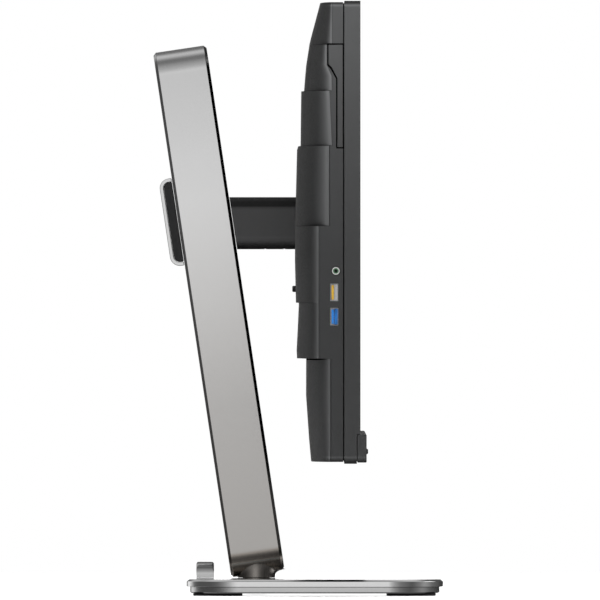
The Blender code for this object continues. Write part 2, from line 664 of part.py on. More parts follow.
def make_side_sockets():
    half = PANEL_WIDTH / 2 - COVER_INSET
    jack = cylinder("audio_jack", (-half + 5.8 * MM, *JACK), JACK_RADIUS, 11.2 * MM, "X", "black_plastic",
                    24)
    boolean(jack, cylinder("jack_bore", (-half, *JACK), 1.75 * MM, 18 * MM, "X", sides=24, cutter=True))
    for name, (y, z), look in (("fast", USB_FAST, "yellow_plastic"), ("data", USB_DATA, "blue_plastic")):
        wide, tall = USB_SIZE[0] / 2, USB_SIZE[1] / 2
        shell = box(f"usb_shell_{name}", (-half + 0.2 * MM, y - wide, z - tall),
                    (-half + 14 * MM, y + wide, z + tall), "steel")
        wall = 0.5 * MM
        boolean(shell, box(f"usb_mouth_{name}", (-half - 5 * MM, y - wide + wall, z - tall + wall),
                           (-half + 12 * MM, y + wide - wall, z + tall - wall), cutter=True))
        box(f"usb_tongue_{name}", (-half + 1 * MM, y + 0.2 * MM, z - tall + 1.3 * MM),
            (-half + 12 * MM - GAP, y + 2.1 * MM, z + tall - 1.3 * MM), look)


# ---------------------------------------------------------------- display: front and inside

def make_front():
    half = PANEL_WIDTH / 2
    frame = box("front_frame", (-half, FRAME_FRONT, PANEL_BOTTOM), (half, FRAME_BACK, PANEL_TOP),
                "frame_plastic")
    add_bevel(frame, 0.8 * MM, 2, 60)
    boolean(frame, box("frame_window", (-half + FRAME_WALL, -80 * MM, CHIN_TOP),
                       (half - FRAME_WALL, 0, PANEL_TOP - FRAME_WALL), cutter=True))
    boolean(frame, box("frame_pocket",
                       (-half + FRAME_WALL, FRAME_FRONT + 5 * MM, PANEL_BOTTOM + FRAME_WALL),
                       (half - FRAME_WALL, 0, PANEL_TOP - FRAME_WALL), cutter=True))
    boolean(frame, box("chin_room", (-half - 5 * MM, -80 * MM, PANEL_BOTTOM - 5 * MM),
                       (half + 5 * MM, CHIN_BACK + GAP, CHIN_TOP + GAP), cutter=True))
    chin = box("chin_bezel", (-half, CHIN_FRONT, PANEL_BOTTOM + 1 * MM), (half, CHIN_BACK, CHIN_TOP),
               "frame_plastic")
    add_bevel(chin, 1 * MM, 2, 60)
    wide, tall, rear = LENS_HALF[0], LENS_HALF[1], CHIN_FRONT + 3 * MM
    boolean(chin, box("lens_room", (-wide - 0.4 * MM, -70 * MM, LENS_Z - tall - 0.4 * MM),
                      (wide + 0.4 * MM, rear + 0.2 * MM, LENS_Z + tall + 0.4 * MM), cutter=True))
    box("sensor_lens", (-wide, CHIN_FRONT - 2 * MM, LENS_Z - tall), (wide, rear - 0.1 * MM, LENS_Z + tall),
        "screen_glass", 0.9 * MM, 2)
    inside = half - FRAME_WALL - GAP
    low, high = CHIN_TOP + 2 * GAP, PANEL_TOP - FRAME_WALL - GAP
    box("lcd_panel", (-inside, FRAME_FRONT + 0.3 * MM, low), (inside, FRAME_FRONT + 3.1 * MM, high),
        "screen_glass")
    box("backlight_unit", (-inside + 3 * MM, -46.5 * MM, low + 3 * MM),
        (inside - 3 * MM, -40.6 * MM, high - 3 * MM), "black_plastic")
    box("panel_chassis", (-inside + 4 * MM, -40.2 * MM, PANEL_BOTTOM + 12 * MM),
        (inside - 4 * MM, -39.5 * MM, high - 4 * MM), "steel")
    wide = SPEAKER_SIZE[0] / 2
    for name, x in (("left", -SPEAKER_X), ("right", SPEAKER_X)):
        box(f"speaker_{name}", (x - wide, -38 * MM, SPEAKER_LOW),
            (x + wide, -17 * MM, SPEAKER_LOW + SPEAKER_SIZE[1]), "black_plastic", 2 * MM, 1)


def make_electronics():
    front = BOARD_REAR - BOARD_THICKNESS
    box("main_board", (-118 * MM, front, 199 * MM), (84 * MM, BOARD_REAR, 244 * MM), "circuit_board")
    box("power_board", (-190 * MM, front, 362 * MM), (-40 * MM, BOARD_REAR, 440 * MM), "circuit_board")
    x = -PANEL_WIDTH / 2 + COVER_INSET + 14.6 * MM
    box("port_board", (x, -33 * MM, 216 * MM), (x + BOARD_THICKNESS, -20.5 * MM, 274 * MM), "circuit_board")
    wide, tall, window = VESA_HALF
    plate = box("vesa_frame", (-wide, -19 * MM, ARM_Z - tall), (wide, -17.4 * MM, ARM_Z + tall), "steel")
    boolean(plate, box("vesa_window", (-window, -30 * MM, ARM_Z - window), (window, 0, ARM_Z + window),
                       cutter=True))


def make_mount_plate():
    """Quick-release plate in the cover's recess, with the pivot's bearing hole and four screws."""
    plate = box("quick_release_plate", (-PLATE_HALF, PLATE_FRONT, ARM_Z - PLATE_HALF),
                (PLATE_HALF, PLATE_BACK, ARM_Z + PLATE_HALF), "black_plastic", 1 * MM, 1)
    bore = cylinder("pivot_bore", (0, PLATE_BACK, ARM_Z), PIN_RADIUS + 0.1 * MM, 30 * MM, "Y", sides=24,
                    cutter=True)
    boolean(plate, bore)
    for side, x in (("left", -SCREW_AT), ("right", SCREW_AT)):
        for level, z in (("upper", ARM_Z + SCREW_AT), ("lower", ARM_Z - SCREW_AT)):
            room = cylinder(f"screw_room_{level}_{side}", (x, PLATE_BACK, z), SCREW_RADIUS + 0.4 * MM,
                            5 * MM, "Y", sides=16, cutter=True)
            boolean(plate, room)
            cylinder(f"plate_screw_{level}_{side}", (x, PLATE_BACK - 1.05 * MM, z), SCREW_RADIUS, 2.2 * MM,
                     "Y", "steel", 16)
    middle = (0, WELL_FLOOR - COVER_WALL, ARM_Z)
    ring = cylinder("pivot_retainer", middle, 12 * MM, 1.6 * MM, "Y", "steel", 24)
    boolean(ring, cylinder("retainer_bore", middle, PIN_RADIUS + 0.6 * MM, 6 * MM, "Y", sides=24,
                           cutter=True))


# ---------------------------------------------------------------- buttons

KEY_Y = -42 * MM
KEY_HALF = (6 * MM, 2 * MM)
KEY_TALL = 4 * MM
KEYS = {"menu_button_1": 210 * MM, "menu_button_2": 230 * MM, "menu_button_3": 250 * MM,
        "menu_button_4": 270 * MM, "power_button": 290 * MM}


def make_buttons(frame):
    """Keys in the underside of the frame at the user's right, and the stand's release."""
    low, (wide, deep) = PANEL_BOTTOM - 0.1 * MM, KEY_HALF
    for name, x in KEYS.items():
        boolean(frame, box(name + "_hole", (x - wide - GAP, KEY_Y - deep - GAP, low - 8 * MM),
                           (x + wide + GAP, KEY_Y + deep + GAP, low + 8 * MM), cutter=True))
        key = box(name, (x - wide, KEY_Y - deep, low), (x + wide, KEY_Y + deep, low + KEY_TALL),
                  "black_plastic", 0.5 * MM, 1)
        rest_origin(key, (x, KEY_Y, low + KEY_TALL / 2))
    wide, tall = RELEASE_SIZE[0] / 2, RELEASE_SIZE[1] / 2
    front, rear = RELEASE_ENDS
    release = box("release_button", (-wide, front, RELEASE_Z - tall), (wide, rear, RELEASE_Z + tall),
                  "black_plastic", 0.8 * MM, 2)
    rest_origin(release, (0, (front + rear) / 2, RELEASE_Z))


def rest_origin(obj, point):
    """Move an object's origin without moving its shape."""
    obj.data.transform(Matrix.Translation(-Vector(point)))
    obj.location = point


def empty(name, place, children):
    """An empty on a joint's axis carries the pieces that move on that joint."""
    holder = bpy.data.objects.new(name, None)
    holder.empty_display_size = 20 * MM
    PARTS.objects.link(holder)
    holder.location = place
    bpy.context.view_layer.update()
    for child in children:
        child.parent = holder
        child.matrix_parent_inverse = holder.matrix_world.inverted()
    return holder


def parent_moving_parts():
    named = PARTS.objects
    head = empty("tilt_axis", (0, TILT_Y, ARM_Z), [named["tilt_knuckle"]])
    display = [named[n] for n in (
        "front_frame", "chin_bezel", "sensor_lens", "lcd_panel", "backlight_unit", "panel_chassis",
        "speaker_left", "speaker_right", "main_board", "power_board", "port_board", "vesa_frame",
        "rear_cover", "side_trim_left", "side_trim_right", "audio_jack", "usb_shell_fast",
        "usb_shell_data", "usb_tongue_fast", "usb_tongue_data", "quick_release_plate", "pivot_retainer",
        "release_button", *REAR_SOCKETS, *KEYS,
        *(f"plate_screw_{level}_{side}" for level in ("upper", "lower") for side in ("left", "right")))]
    pivot = empty("pivot_axis", (0, PLATE_BACK, ARM_Z), display)
    pivot.parent = head
    pivot.matrix_parent_inverse = head.matrix_world.inverted()
    lift = empty("height_axis", on_column(0, ARM_ALONG, 0), [head] + [named[n] for n in (
        "carriage", "arm_cover", "tilt_bracket", "tilt_shaft", "clip_band", "clip_core")])
    empty("swivel_axis", (0, NECK_Y, PLATE_TOP), [lift] + [named[n] for n in (
        "swivel_neck", "swivel_retainer", "base_thumbscrew", "column_band", "column_front_cover",
        "column_rear_cover", "guide_rail_left", "guide_rail_right", "lift_spring_drum")])


make_base()
make_swivel()
make_column()
make_carriage()
make_head()
make_rear_cover()
make_rear_sockets()
make_side_sockets()
make_front()
make_electronics()
make_mount_plate()
make_buttons(PARTS.objects["front_frame"])
parent_moving_parts()
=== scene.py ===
"""Looks of the desk monitor: fine shells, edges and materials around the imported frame."""
import math

import bmesh
import bpy
from mathutils import Matrix, Vector


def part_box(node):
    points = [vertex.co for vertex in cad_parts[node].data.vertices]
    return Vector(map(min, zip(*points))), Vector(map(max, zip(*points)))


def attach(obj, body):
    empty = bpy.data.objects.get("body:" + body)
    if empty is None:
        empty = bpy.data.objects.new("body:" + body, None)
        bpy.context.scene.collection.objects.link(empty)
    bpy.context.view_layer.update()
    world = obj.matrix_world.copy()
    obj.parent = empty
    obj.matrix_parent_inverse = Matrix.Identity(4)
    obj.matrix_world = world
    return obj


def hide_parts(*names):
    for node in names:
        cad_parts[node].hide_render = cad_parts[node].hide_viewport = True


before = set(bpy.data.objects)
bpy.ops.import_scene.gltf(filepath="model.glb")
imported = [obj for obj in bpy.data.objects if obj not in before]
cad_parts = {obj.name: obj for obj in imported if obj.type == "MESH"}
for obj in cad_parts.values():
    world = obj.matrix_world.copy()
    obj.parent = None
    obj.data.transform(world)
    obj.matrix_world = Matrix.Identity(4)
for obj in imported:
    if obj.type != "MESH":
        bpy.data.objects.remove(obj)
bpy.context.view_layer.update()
MM = 0.001
LEAN = math.radians(8.5)


# -------- stage, camera, light

def link(obj):
    bpy.context.scene.collection.objects.link(obj)
    return obj


def fill_ramp(ramp, stops):
    """Give a colour ramp node its stops, as (place from 0 to 1, (red, green, blue))."""
    elements = ramp.color_ramp.elements
    while len(elements) < len(stops):
        elements.new(0.5)
    for element, (place, colour) in zip(elements, stops):
        element.position, element.color = place, (*colour, 1)


EYE = (-20.431, -0.00143, 0.2405)


def make_camera():
    """The long lens sees the object square on from its left side, almost without perspective."""
    data = bpy.data.cameras.new("camera")
    data.lens = 1500
    data.sensor_width = 36
    data.clip_start = 1
    data.clip_end = 60
    camera = link(bpy.data.objects.new("camera", data))
    camera.location = EYE
    camera.rotation_euler = (math.pi / 2, 0, -math.pi / 2)
    bpy.context.scene.camera = camera


def softbox(name, place, target, size, power):
    """Area light at place that shines towards target."""
    data = bpy.data.lights.new(name, "AREA")
    data.shape = "RECTANGLE"
    data.size, data.size_y = size
    data.energy = power
    light = link(bpy.data.objects.new(name, data))
    light.location = place
    light.rotation_euler = (Vector(target) - Vector(place)).to_track_quat("-Z", "Y").to_euler()
    light.visible_camera = False
    return light


# What the object mirrors, as (degrees, radiance): up and over its left side, where 0 is the eye's side and
# 90 straight up, and then level round it, where 90 is towards the back of the desk.
OVER = ((-180, 0.10), (-90, 0.10), (-67, 0.16), (-45, 0.08), (-35, 0.09), (-26, 0.17), (-16, 0.42),
        (-7, 0.78), (0, 0.84), (9, 0.86), (19, 0.60), (28, 0.45), (38, 0.39), (50, 0.29), (59, 0.17),
        (70, 0.13), (79, 0.18), (88, 0.46), (94, 0.62), (108, 0.66), (117, 0.32), (126, 0.14), (168, 0.12),
        (174, 1.7), (180, 1.7))
ROUND = ((-180, 1.7), (-174, 1.7), (-168, 0.05), (-142, 0.055), (-106, 0.145), (-94, 0.257), (-82, 0.33),
         (-71, 0.21), (-52, 0.09), (-26, 0.18), (-11, 0.38), (0, 0.74), (8, 0.80), (16, 0.68), (25, 0.46),
         (34, 0.31), (42, 0.20), (51, 0.13), (60, 0.10), (70, 0.085), (104, 0.085), (118, 0.15), (130, 0.6),
         (140, 0.9), (150, 0.9), (158, 0.15), (168, 0.1), (174, 1.7), (180, 1.7))


def make_world():
    """White backdrop for the eye; the object mirrors a studio that depends on the direction."""
    world = bpy.data.worlds.new("studio")
    world.use_nodes = True
    world.cycles_visibility.diffuse = False
    tree = world.node_tree
    tree.nodes.clear()

    def math_node(operation, first, second):
        made = tree.nodes.new("ShaderNodeMath")
        made.operation = operation
        for socket, value in zip(made.inputs, (first, second)):
            if isinstance(value, float):
                socket.default_value = value
            else:
                tree.links.new(value, socket)
        return made.outputs[0]

    def around(height, stops):
        """Radiance by the angle between the eye's side and a direction, in the plane of height."""
        angle = math_node("ARCTAN2", height, math_node("MULTIPLY", parts.outputs["X"], -1.0))
        turn = tree.nodes.new("ShaderNodeMapRange")
        turn.inputs["From Min"].default_value, turn.inputs["From Max"].default_value = -math.pi, math.pi
        tree.links.new(angle, turn.inputs["Value"])
        made = tree.nodes.new("ShaderNodeValToRGB")
        fill_ramp(made, [((degrees + 180) / 360, (grey,) * 3) for degrees, grey in stops])
        tree.links.new(turn.outputs["Result"], made.inputs["Fac"])
        return made.outputs["Color"]

    direction = tree.nodes.new("ShaderNodeTexCoord").outputs["Generated"]
    parts = tree.nodes.new("ShaderNodeSeparateXYZ")
    tree.links.new(direction, parts.inputs[0])
    up, level = (math_node("POWER", parts.outputs[axis], 2.0) for axis in ("Z", "Y"))
    steep = math_node("DIVIDE", up, math_node("ADD", math_node("ADD", up, level), 0.0001))
    both = tree.nodes.new("ShaderNodeMix")
    both.data_type = "RGBA"
    tree.links.new(steep, both.inputs["Factor"])
    tree.links.new(around(parts.outputs["Y"], ROUND), both.inputs["A"])
    tree.links.new(around(parts.outputs["Z"], OVER), both.inputs["B"])
    dim, bright = tree.nodes.new("ShaderNodeBackground"), tree.nodes.new("ShaderNodeBackground")
    tree.links.new(both.outputs["Result"], dim.inputs["Color"])
    bright.inputs["Color"].default_value = (1, 1, 1, 1)
    path = tree.nodes.new("ShaderNodeLightPath")
    mix, out = tree.nodes.new("ShaderNodeMixShader"), tree.nodes.new("ShaderNodeOutputWorld")
    tree.links.new(path.outputs["Is Camera Ray"], mix.inputs["Fac"])
    tree.links.new(dim.outputs[0], mix.inputs[1])
    tree.links.new(bright.outputs[0], mix.inputs[2])
    tree.links.new(mix.outputs[0], out.inputs["Surface"])
    bpy.context.scene.world = world


GLOW_HEIGHT = 1.6 * MM


def make_floor():
    """Pale round floor, with lights of its own above it and under the base."""
    mesh = bpy.data.meshes.new("floor")
    work = bmesh.new()
    bmesh.ops.create_circle(work, cap_ends=True, segments=96, radius=1.6)
    work.to_mesh(mesh)
    work.free()
    floor = link(bpy.data.objects.new("floor", mesh))
    mesh.materials.append(floor_paint())
    floor.visible_glossy = False
    lit = bpy.data.collections.new("floor_only")
    lit.objects.link(floor)
    key = softbox("floor_key", (0, 0, 2.6), (0, 0, 0), (2.4, 2.4), 150)
    key.light_linking.receiver_collection = lit
    low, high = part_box("base_plate")
    middle = (low.y + high.y) / 2
    size = (high.y - low.y, high.x - low.x)
    glow = softbox("under_base", (0, middle, GLOW_HEIGHT), (0, middle, 0), size, 0.2)
    glow.light_linking.receiver_collection = lit
    glow.visible_glossy = False


def make_stage():
    """Camera, studio and floor; fills light the object without being mirrored by it."""
    bpy.context.scene.view_settings.view_transform = "Standard"
    make_camera()
    make_world()
    make_floor()
    fills = (("side_fill", (-0.86, -0.08, 0.86), (-0.3, 0, 0.4), (0.5, 0.4), 3.6),
             ("low_fill", (-0.85, 0.15, 0.05), (-0.3, 0.0, 0.2), (0.4, 0.3), 0.9),
             ("top_fill", (-0.5, 0.0, 1.7), (-0.2, 0, 0.3), (1.2, 1.2), 3.0))
    for name, place, target, size, power in fills:
        softbox(name, place, target, size, power).visible_glossy = False
    keys = (("front_key", (0.6, -2.4, 1.3), (1.4, 1.0), 14), ("back_key", (0.6, 2.4, 1.1), (1.4, 1.0), 5),
            ("right_key", (2.2, 0.1, 0.8), (1.0, 0.8), 5))
    for name, place, size, power in keys:
        softbox(name, place, (0, 0, 0.25), size, power).visible_glossy = name == "front_key"


# -------- materials

class Paint:
    """A Principled material and the nodes that feed it."""

    def __init__(self, name, colour, roughness, metallic=0.0, specular=0.5):
        self.material = bpy.data.materials.new(name)
        self.material.use_nodes = True
        self.tree = self.material.node_tree
        self.shader = self.tree.nodes["Principled BSDF"]
        self.colour = colour
        self.roughness = roughness
        self.shader.inputs["Metallic"].default_value = metallic
        self.shader.inputs["Specular IOR Level"].default_value = specular
        self.place = self.tree.nodes.new("ShaderNodeTexCoord").outputs["Object"]

    def node(self, kind, **values):
        made = self.tree.nodes.new(kind)
        for key, value in values.items():
            made.inputs[key].default_value = value
        return made

    def wire(self, source, target):
        self.tree.links.new(source, target)

    def stretched(self, scale, turn=(0, 0, 0)):
        """Object coordinates, turned and then stretched."""
        turned = self.node("ShaderNodeMapping", Rotation=turn)
        self.wire(self.place, turned.inputs["Vector"])
        scaled = self.node("ShaderNodeMapping", Scale=scale)
        self.wire(turned.outputs["Vector"], scaled.inputs["Vector"])
        return scaled.outputs["Vector"]

    def noise(self, scale, detail=3.0, vector=None):
        made = self.node("ShaderNodeTexNoise", Scale=scale, Detail=detail)
        self.wire(vector or self.place, made.inputs["Vector"])
        return made.outputs["Fac"]

    def spread(self, value, low, high):
        """Map a 0 to 1 value to low to high."""
        ramp = self.node("ShaderNodeMapRange", **{"To Min": low, "To Max": high})
        ramp.inputs["From Min"].default_value = 0.3
        ramp.inputs["From Max"].default_value = 0.7
        self.wire(value, ramp.inputs["Value"])
        return ramp.outputs["Result"]

    def tint(self, value, change):
        """Vary the colour's brightness by a share of itself."""
        mix = self.tree.nodes.new("ShaderNodeMix")
        mix.data_type = "RGBA"
        mix.inputs["A"].default_value = (*(c * (1 - change) for c in self.colour), 1)
        mix.inputs["B"].default_value = (*(min(1, c * (1 + change)) for c in self.colour), 1)
        self.wire(value, mix.inputs["Factor"])
        return mix.outputs["Result"]

    def ramp(self, value, stops):
        """Colour by a value; stops are (value, brightness)."""
        first, last = stops[0][0], stops[-1][0]
        place = self.node("ShaderNodeMapRange", **{"From Min": first, "From Max": last})
        self.wire(value, place.inputs["Value"])
        made = self.node("ShaderNodeValToRGB")
        fill_ramp(made, [((where - first) / (last - first), (grey,) * 3) for where, grey in stops])
        self.wire(place.outputs["Result"], made.inputs["Fac"])
        return made.outputs["Color"]

    def height(self):
        """Height above the desk with every joint at rest."""
        parts = self.node("ShaderNodeSeparateXYZ")
        self.wire(self.place, parts.inputs[0])
        return parts.outputs["Z"]

    def times(self, first, second, share=1.0):
        """First colour multiplied by the second, or partly so."""
        return self.blend(first, second, share, "MULTIPLY")

    def blend(self, first, second, share, kind="MIX"):
        """Mix of two colours; share is a number or an output from 0 to 1."""
        mix = self.tree.nodes.new("ShaderNodeMix")
        mix.data_type, mix.blend_type = "RGBA", kind
        if isinstance(share, float):
            mix.inputs["Factor"].default_value = share
        else:
            self.wire(share, mix.inputs["Factor"])
        self.wire(first, mix.inputs["A"])
        self.wire(second, mix.inputs["B"])
        return mix.outputs["Result"]

    def facing(self, axis):
        """Share of a face's direction along an axis, -1 to 1."""
        parts = self.node("ShaderNodeSeparateXYZ")
        self.wire(self.tree.nodes.new("ShaderNodeNewGeometry").outputs["Normal"], parts.inputs[0])
        return parts.outputs[axis]

    def sideways(self, low, high):
        """0 where a face looks up, down or along Y, 1 where it looks along X."""
        size = self.node("ShaderNodeMath")
        size.operation = "ABSOLUTE"
        self.wire(self.facing("X"), size.inputs[0])
        step = self.node("ShaderNodeMapRange", **{"From Min": low, "From Max": high})
        self.wire(size.outputs[0], step.inputs["Value"])
        return step.outputs["Result"]

    def bump(self, value, strength, distance, under=None):
        made = self.node("ShaderNodeBump", Strength=strength, Distance=distance)
        self.wire(value, made.inputs["Height"])
        if under:
            self.wire(under, made.inputs["Normal"])
        return made.outputs["Normal"]

    def finish(self, colour, roughness, normal=None):
        self.wire(colour, self.shader.inputs["Base Color"])
        self.wire(roughness, self.shader.inputs["Roughness"])
        if normal:
            self.wire(normal, self.shader.inputs["Normal"])
        return self.material


def floor_paint():
    paint = Paint("floor_paint", (0.9, 0.9, 0.9), 0.8, specular=0.1)
    soft = paint.noise(3)
    return paint.finish(paint.tint(soft, 0.01), paint.spread(soft, 0.75, 0.85))


def moulded(name, colour, roughness, grain=1500, depth=0.05, specular=0.5, painted_light=None, flat_painted_light=None):
    """Moulded plastic with the fine pitted grain of the mould, and slow unevenness.

    Light and shade can be painted on by the height, one ramp for the swelling faces and one for the flat
    sides; with both, a painted highlight is laid where a face turns towards X.
    """
    paint = Paint(name, colour, roughness, specular=specular)
    cells = paint.node("ShaderNodeTexVoronoi", Scale=grain)
    paint.wire(paint.place, cells.inputs["Vector"])
    fine = paint.noise(grain * 0.6, 2)
    slow = paint.noise(9, 4)
    pits = paint.bump(cells.outputs["Distance"], 0.35, depth * MM)
    normal = paint.bump(fine, 0.25, depth * MM, pits)
    shade = paint.tint(slow, 0.06)
    # Painted light and shade by the height and by the way a face turns
    if painted_light:
        height = paint.height()
        painted_shading = paint.ramp(height, painted_light)
        if flat_painted_light:
            both = paint.blend(painted_shading, paint.ramp(height, flat_painted_light), paint.sideways(0.15, 0.9))
            painted_shading = paint.times(both, paint.ramp(paint.sideways(0.0, 1.0), TURN_PAINTED_HIGHLIGHT))
        shade = paint.times(shade, painted_shading)
    return paint.finish(shade, paint.spread(fine, roughness - 0.06, roughness + 0.06), normal)


def brushed(name, colour, roughness, direction="Z", strength=0.06, painted_light=None):
    """Brushed metal: fine lines along one axis, with a slow unevenness in the sheen; a ramp, when given,
    paints light and shade by the way a face looks along Y.
    """
    paint = Paint(name, colour, roughness, metallic=1.0)
    along, across = 25, 2600
    lines = paint.noise(1, 2, paint.stretched([along if axis == direction else across for axis in "XYZ"]))
    slow = paint.noise(7, 3)
    blast = paint.noise(2200, 2)
    normal = paint.bump(lines, strength, 0.02 * MM, paint.bump(blast, 0.05, 0.02 * MM))
    rough = paint.node("ShaderNodeMath")
    rough.operation = "ADD"
    paint.wire(paint.spread(lines, roughness - 0.05, roughness + 0.05), rough.inputs[0])
    paint.wire(paint.spread(slow, -0.015, 0.015), rough.inputs[1])
    shade = paint.tint(lines, 0.03)
    # Painted light and shade by the way a face looks along Y
    if painted_light:
        shade = paint.times(shade, paint.ramp(paint.facing("Y"), painted_light))
    return paint.finish(shade, rough.outputs[0], normal)


def screen_coating():
    """Matte anti-glare film over a dark panel that is switched off."""
    paint = Paint("screen_film", (0.006, 0.0065, 0.008), 0.32)
    paint.shader.inputs["Coat Weight"].default_value = 0.25
    paint.shader.inputs["Coat Roughness"].default_value = 0.4
    sparkle = paint.noise(4200, 2)
    slow = paint.noise(5, 2)
    normal = paint.bump(sparkle, 0.12, 0.01 * MM)
    return paint.finish(paint.tint(slow, 0.15), paint.spread(sparkle, 0.28, 0.36), normal)


def glossy(name, colour, roughness=0.08):
    paint = Paint(name, colour, roughness)
    paint.shader.inputs["Coat Weight"].default_value = 0.6
    paint.shader.inputs["Coat Roughness"].default_value = 0.05
    slow = paint.noise(300, 2)
    return paint.finish(paint.tint(slow, 0.1), paint.spread(slow, roughness, roughness + 0.05))


def rubber():
    paint = Paint("rubber", (0.016, 0.016, 0.017), 0.85, specular=0.3)
    speck = paint.noise(2500, 4)
    slow = paint.noise(60, 3)
    normal = paint.bump(speck, 0.5, 0.05 * MM)
    return paint.finish(paint.tint(slow, 0.2), paint.spread(speck, 0.75, 0.95), normal)


def circuit_board():
    """Green solder mask with a pattern of copper tracks under it."""
    paint = Paint("circuit_board", (0.015, 0.10, 0.035), 0.4)
    tracks = paint.node("ShaderNodeTexBrick", Scale=180)
    tracks.inputs["Color1"].default_value = (0.012, 0.085, 0.03, 1)
    tracks.inputs["Color2"].default_value = (0.016, 0.11, 0.04, 1)
    tracks.inputs["Mortar"].default_value = (0.05, 0.16, 0.06, 1)
    paint.wire(paint.stretched((1, 1, 1), (math.pi / 2, 0, 0)), tracks.inputs["Vector"])
    slow = paint.noise(90, 3)
    normal = paint.bump(tracks.outputs["Fac"], 0.3, 0.05 * MM)
    return paint.finish(tracks.outputs["Color"], paint.spread(slow, 0.3, 0.45), normal)


# Painted shade by how far a face looks towards the back: the column's front chamfer is painted dark, the rear
# one dull
CHAMFER_PAINTED_SHADE = ((-1.0, 1.0), (-0.97, 1.0), (-0.93, 0.12), (-0.35, 0.12), (-0.2, 1.0), (0.2, 1.0),
                 (0.35, 0.7), (0.93, 0.7), (0.97, 1.0), (1.0, 1.0))
# Painted shade on the neck by the way a face looks along Y, darkest where it faces the front
NECK_PAINTED_SHADE = ((-1.0, 0.2), (-0.7, 0.25), (-0.35, 0.7), (0.0, 0.92), (0.4, 0.85), (0.7, 0.6), (1.0, 0.5))


# Painted light and shade by height along the leaning column, brighter above; a painted dark band and a
# painted highlight line close its foot
COLUMN_PAINTED_LIGHT = ((0.0300, 0.42), (0.0316, 1.3), (0.0332, 0.42), (0.0348, 0.20), (0.0364, 0.16), (0.0380, 0.26),
                (0.0396, 0.46), (0.0415, 0.57), (0.060, 0.58), (0.11, 0.615), (0.16, 0.655), (0.20, 0.73),
                (0.245, 0.83), (0.30, 0.93), (0.33, 0.97), (0.365, 0.94), (0.39, 0.89), (0.43, 0.83))
COLUMN_TOP, FOOT_BAND = 0.48, 0.041


def column_metal():
    """Anodised aluminium with light and shade painted along the column, light above and warmer below, and
    painted shade on its chamfers.
    """
    paint = Paint("column_aluminium", (0.8, 0.8, 0.8), 0.3, metallic=1.0)
    leaning = paint.node("ShaderNodeMapping", Rotation=(LEAN, 0, 0))
    paint.wire(paint.place, leaning.inputs["Vector"])
    parts = paint.node("ShaderNodeSeparateXYZ")
    paint.wire(leaning.outputs["Vector"], parts.inputs[0])
    height = paint.node("ShaderNodeMapRange", **{"From Max": COLUMN_TOP})
    paint.wire(parts.outputs["Z"], height.inputs["Value"])
    # Stops of the painted light and shade along the column, tinted warmer below
    stops = []
    for place, grey in COLUMN_PAINTED_LIGHT:
        warm = max(0, 0.35 - place) * 0.12 + (0.06 if place < FOOT_BAND else 0)
        stops.append((place / COLUMN_TOP, (grey * (1 + warm), grey, grey * (1 - warm))))
    ramp = paint.node("ShaderNodeValToRGB")
    fill_ramp(ramp, stops)
    paint.wire(height.outputs["Result"], ramp.inputs["Fac"])
    lines = paint.noise(1, 2, paint.stretched((2600, 2600, 20), (LEAN, 0, 0)))
    blast = paint.noise(2400, 2)
    normal = paint.bump(lines, 0.06, 0.02 * MM, paint.bump(blast, 0.08, 0.02 * MM))
    shade = paint.times(ramp.outputs["Color"], lines, 0.05)
    # Painted shade on the chamfers, by the way they face
    tone = paint.times(shade, paint.ramp(paint.facing("Y"), CHAMFER_PAINTED_SHADE))
    return paint.finish(tone, paint.spread(blast, 0.24, 0.30), normal)


# Painted light and shade by height above the desk, of the display's flat sides, of its swell and of the arm:
# the sides lighter and the swell darker towards the top, painted highlight lines at the frame's top and
# bottom edges, and painted shade and a painted highlight across the arm
SIDE_PAINTED_LIGHT = ((0.10, 0.55), (0.1112, 0.35), (0.1124, 0.95), (0.1134, 2.1), (0.1142, 1.0), (0.216, 1.0),
              (0.277, 1.1), (0.318, 1.3), (0.359, 1.5), (0.40, 1.8), (0.42, 2.0), (0.4405, 2.2), (0.461, 2.3),
              (0.4765, 2.4), (0.4772, 4.0), (0.4778, 4.0), (0.4786, 0.8), (0.49, 0.5))
SWELL_PAINTED_SHADE = ((0.10, 0.8), (0.13, 0.8), (0.16, 0.7), (0.20, 0.5), (0.25, 0.45), (0.28, 0.2), (0.36, 0.2),
               (0.42, 0.14), (0.49, 0.1))
ARM_PAINTED_LIGHT = ((0.2826, 0.1), (0.2846, 0.2), (0.2870, 0.5), (0.2890, 0.95), (0.2915, 1.1), (0.2935, 1.0),
             (0.3140, 0.98), (0.3160, 0.75), (0.3172, 0.2), (0.3205, 0.25), (0.3225, 0.6), (0.3250, 0.7))
# Painted highlight by how far a face looks along X: it rises beside the crease
TURN_PAINTED_HIGHLIGHT = ((0.0, 0.8), (0.3, 0.9), (0.5, 1.0), (0.7, 1.5), (0.9, 2.1), (0.99, 2.1), (0.9985, 1.0),
              (1.0, 1.0))

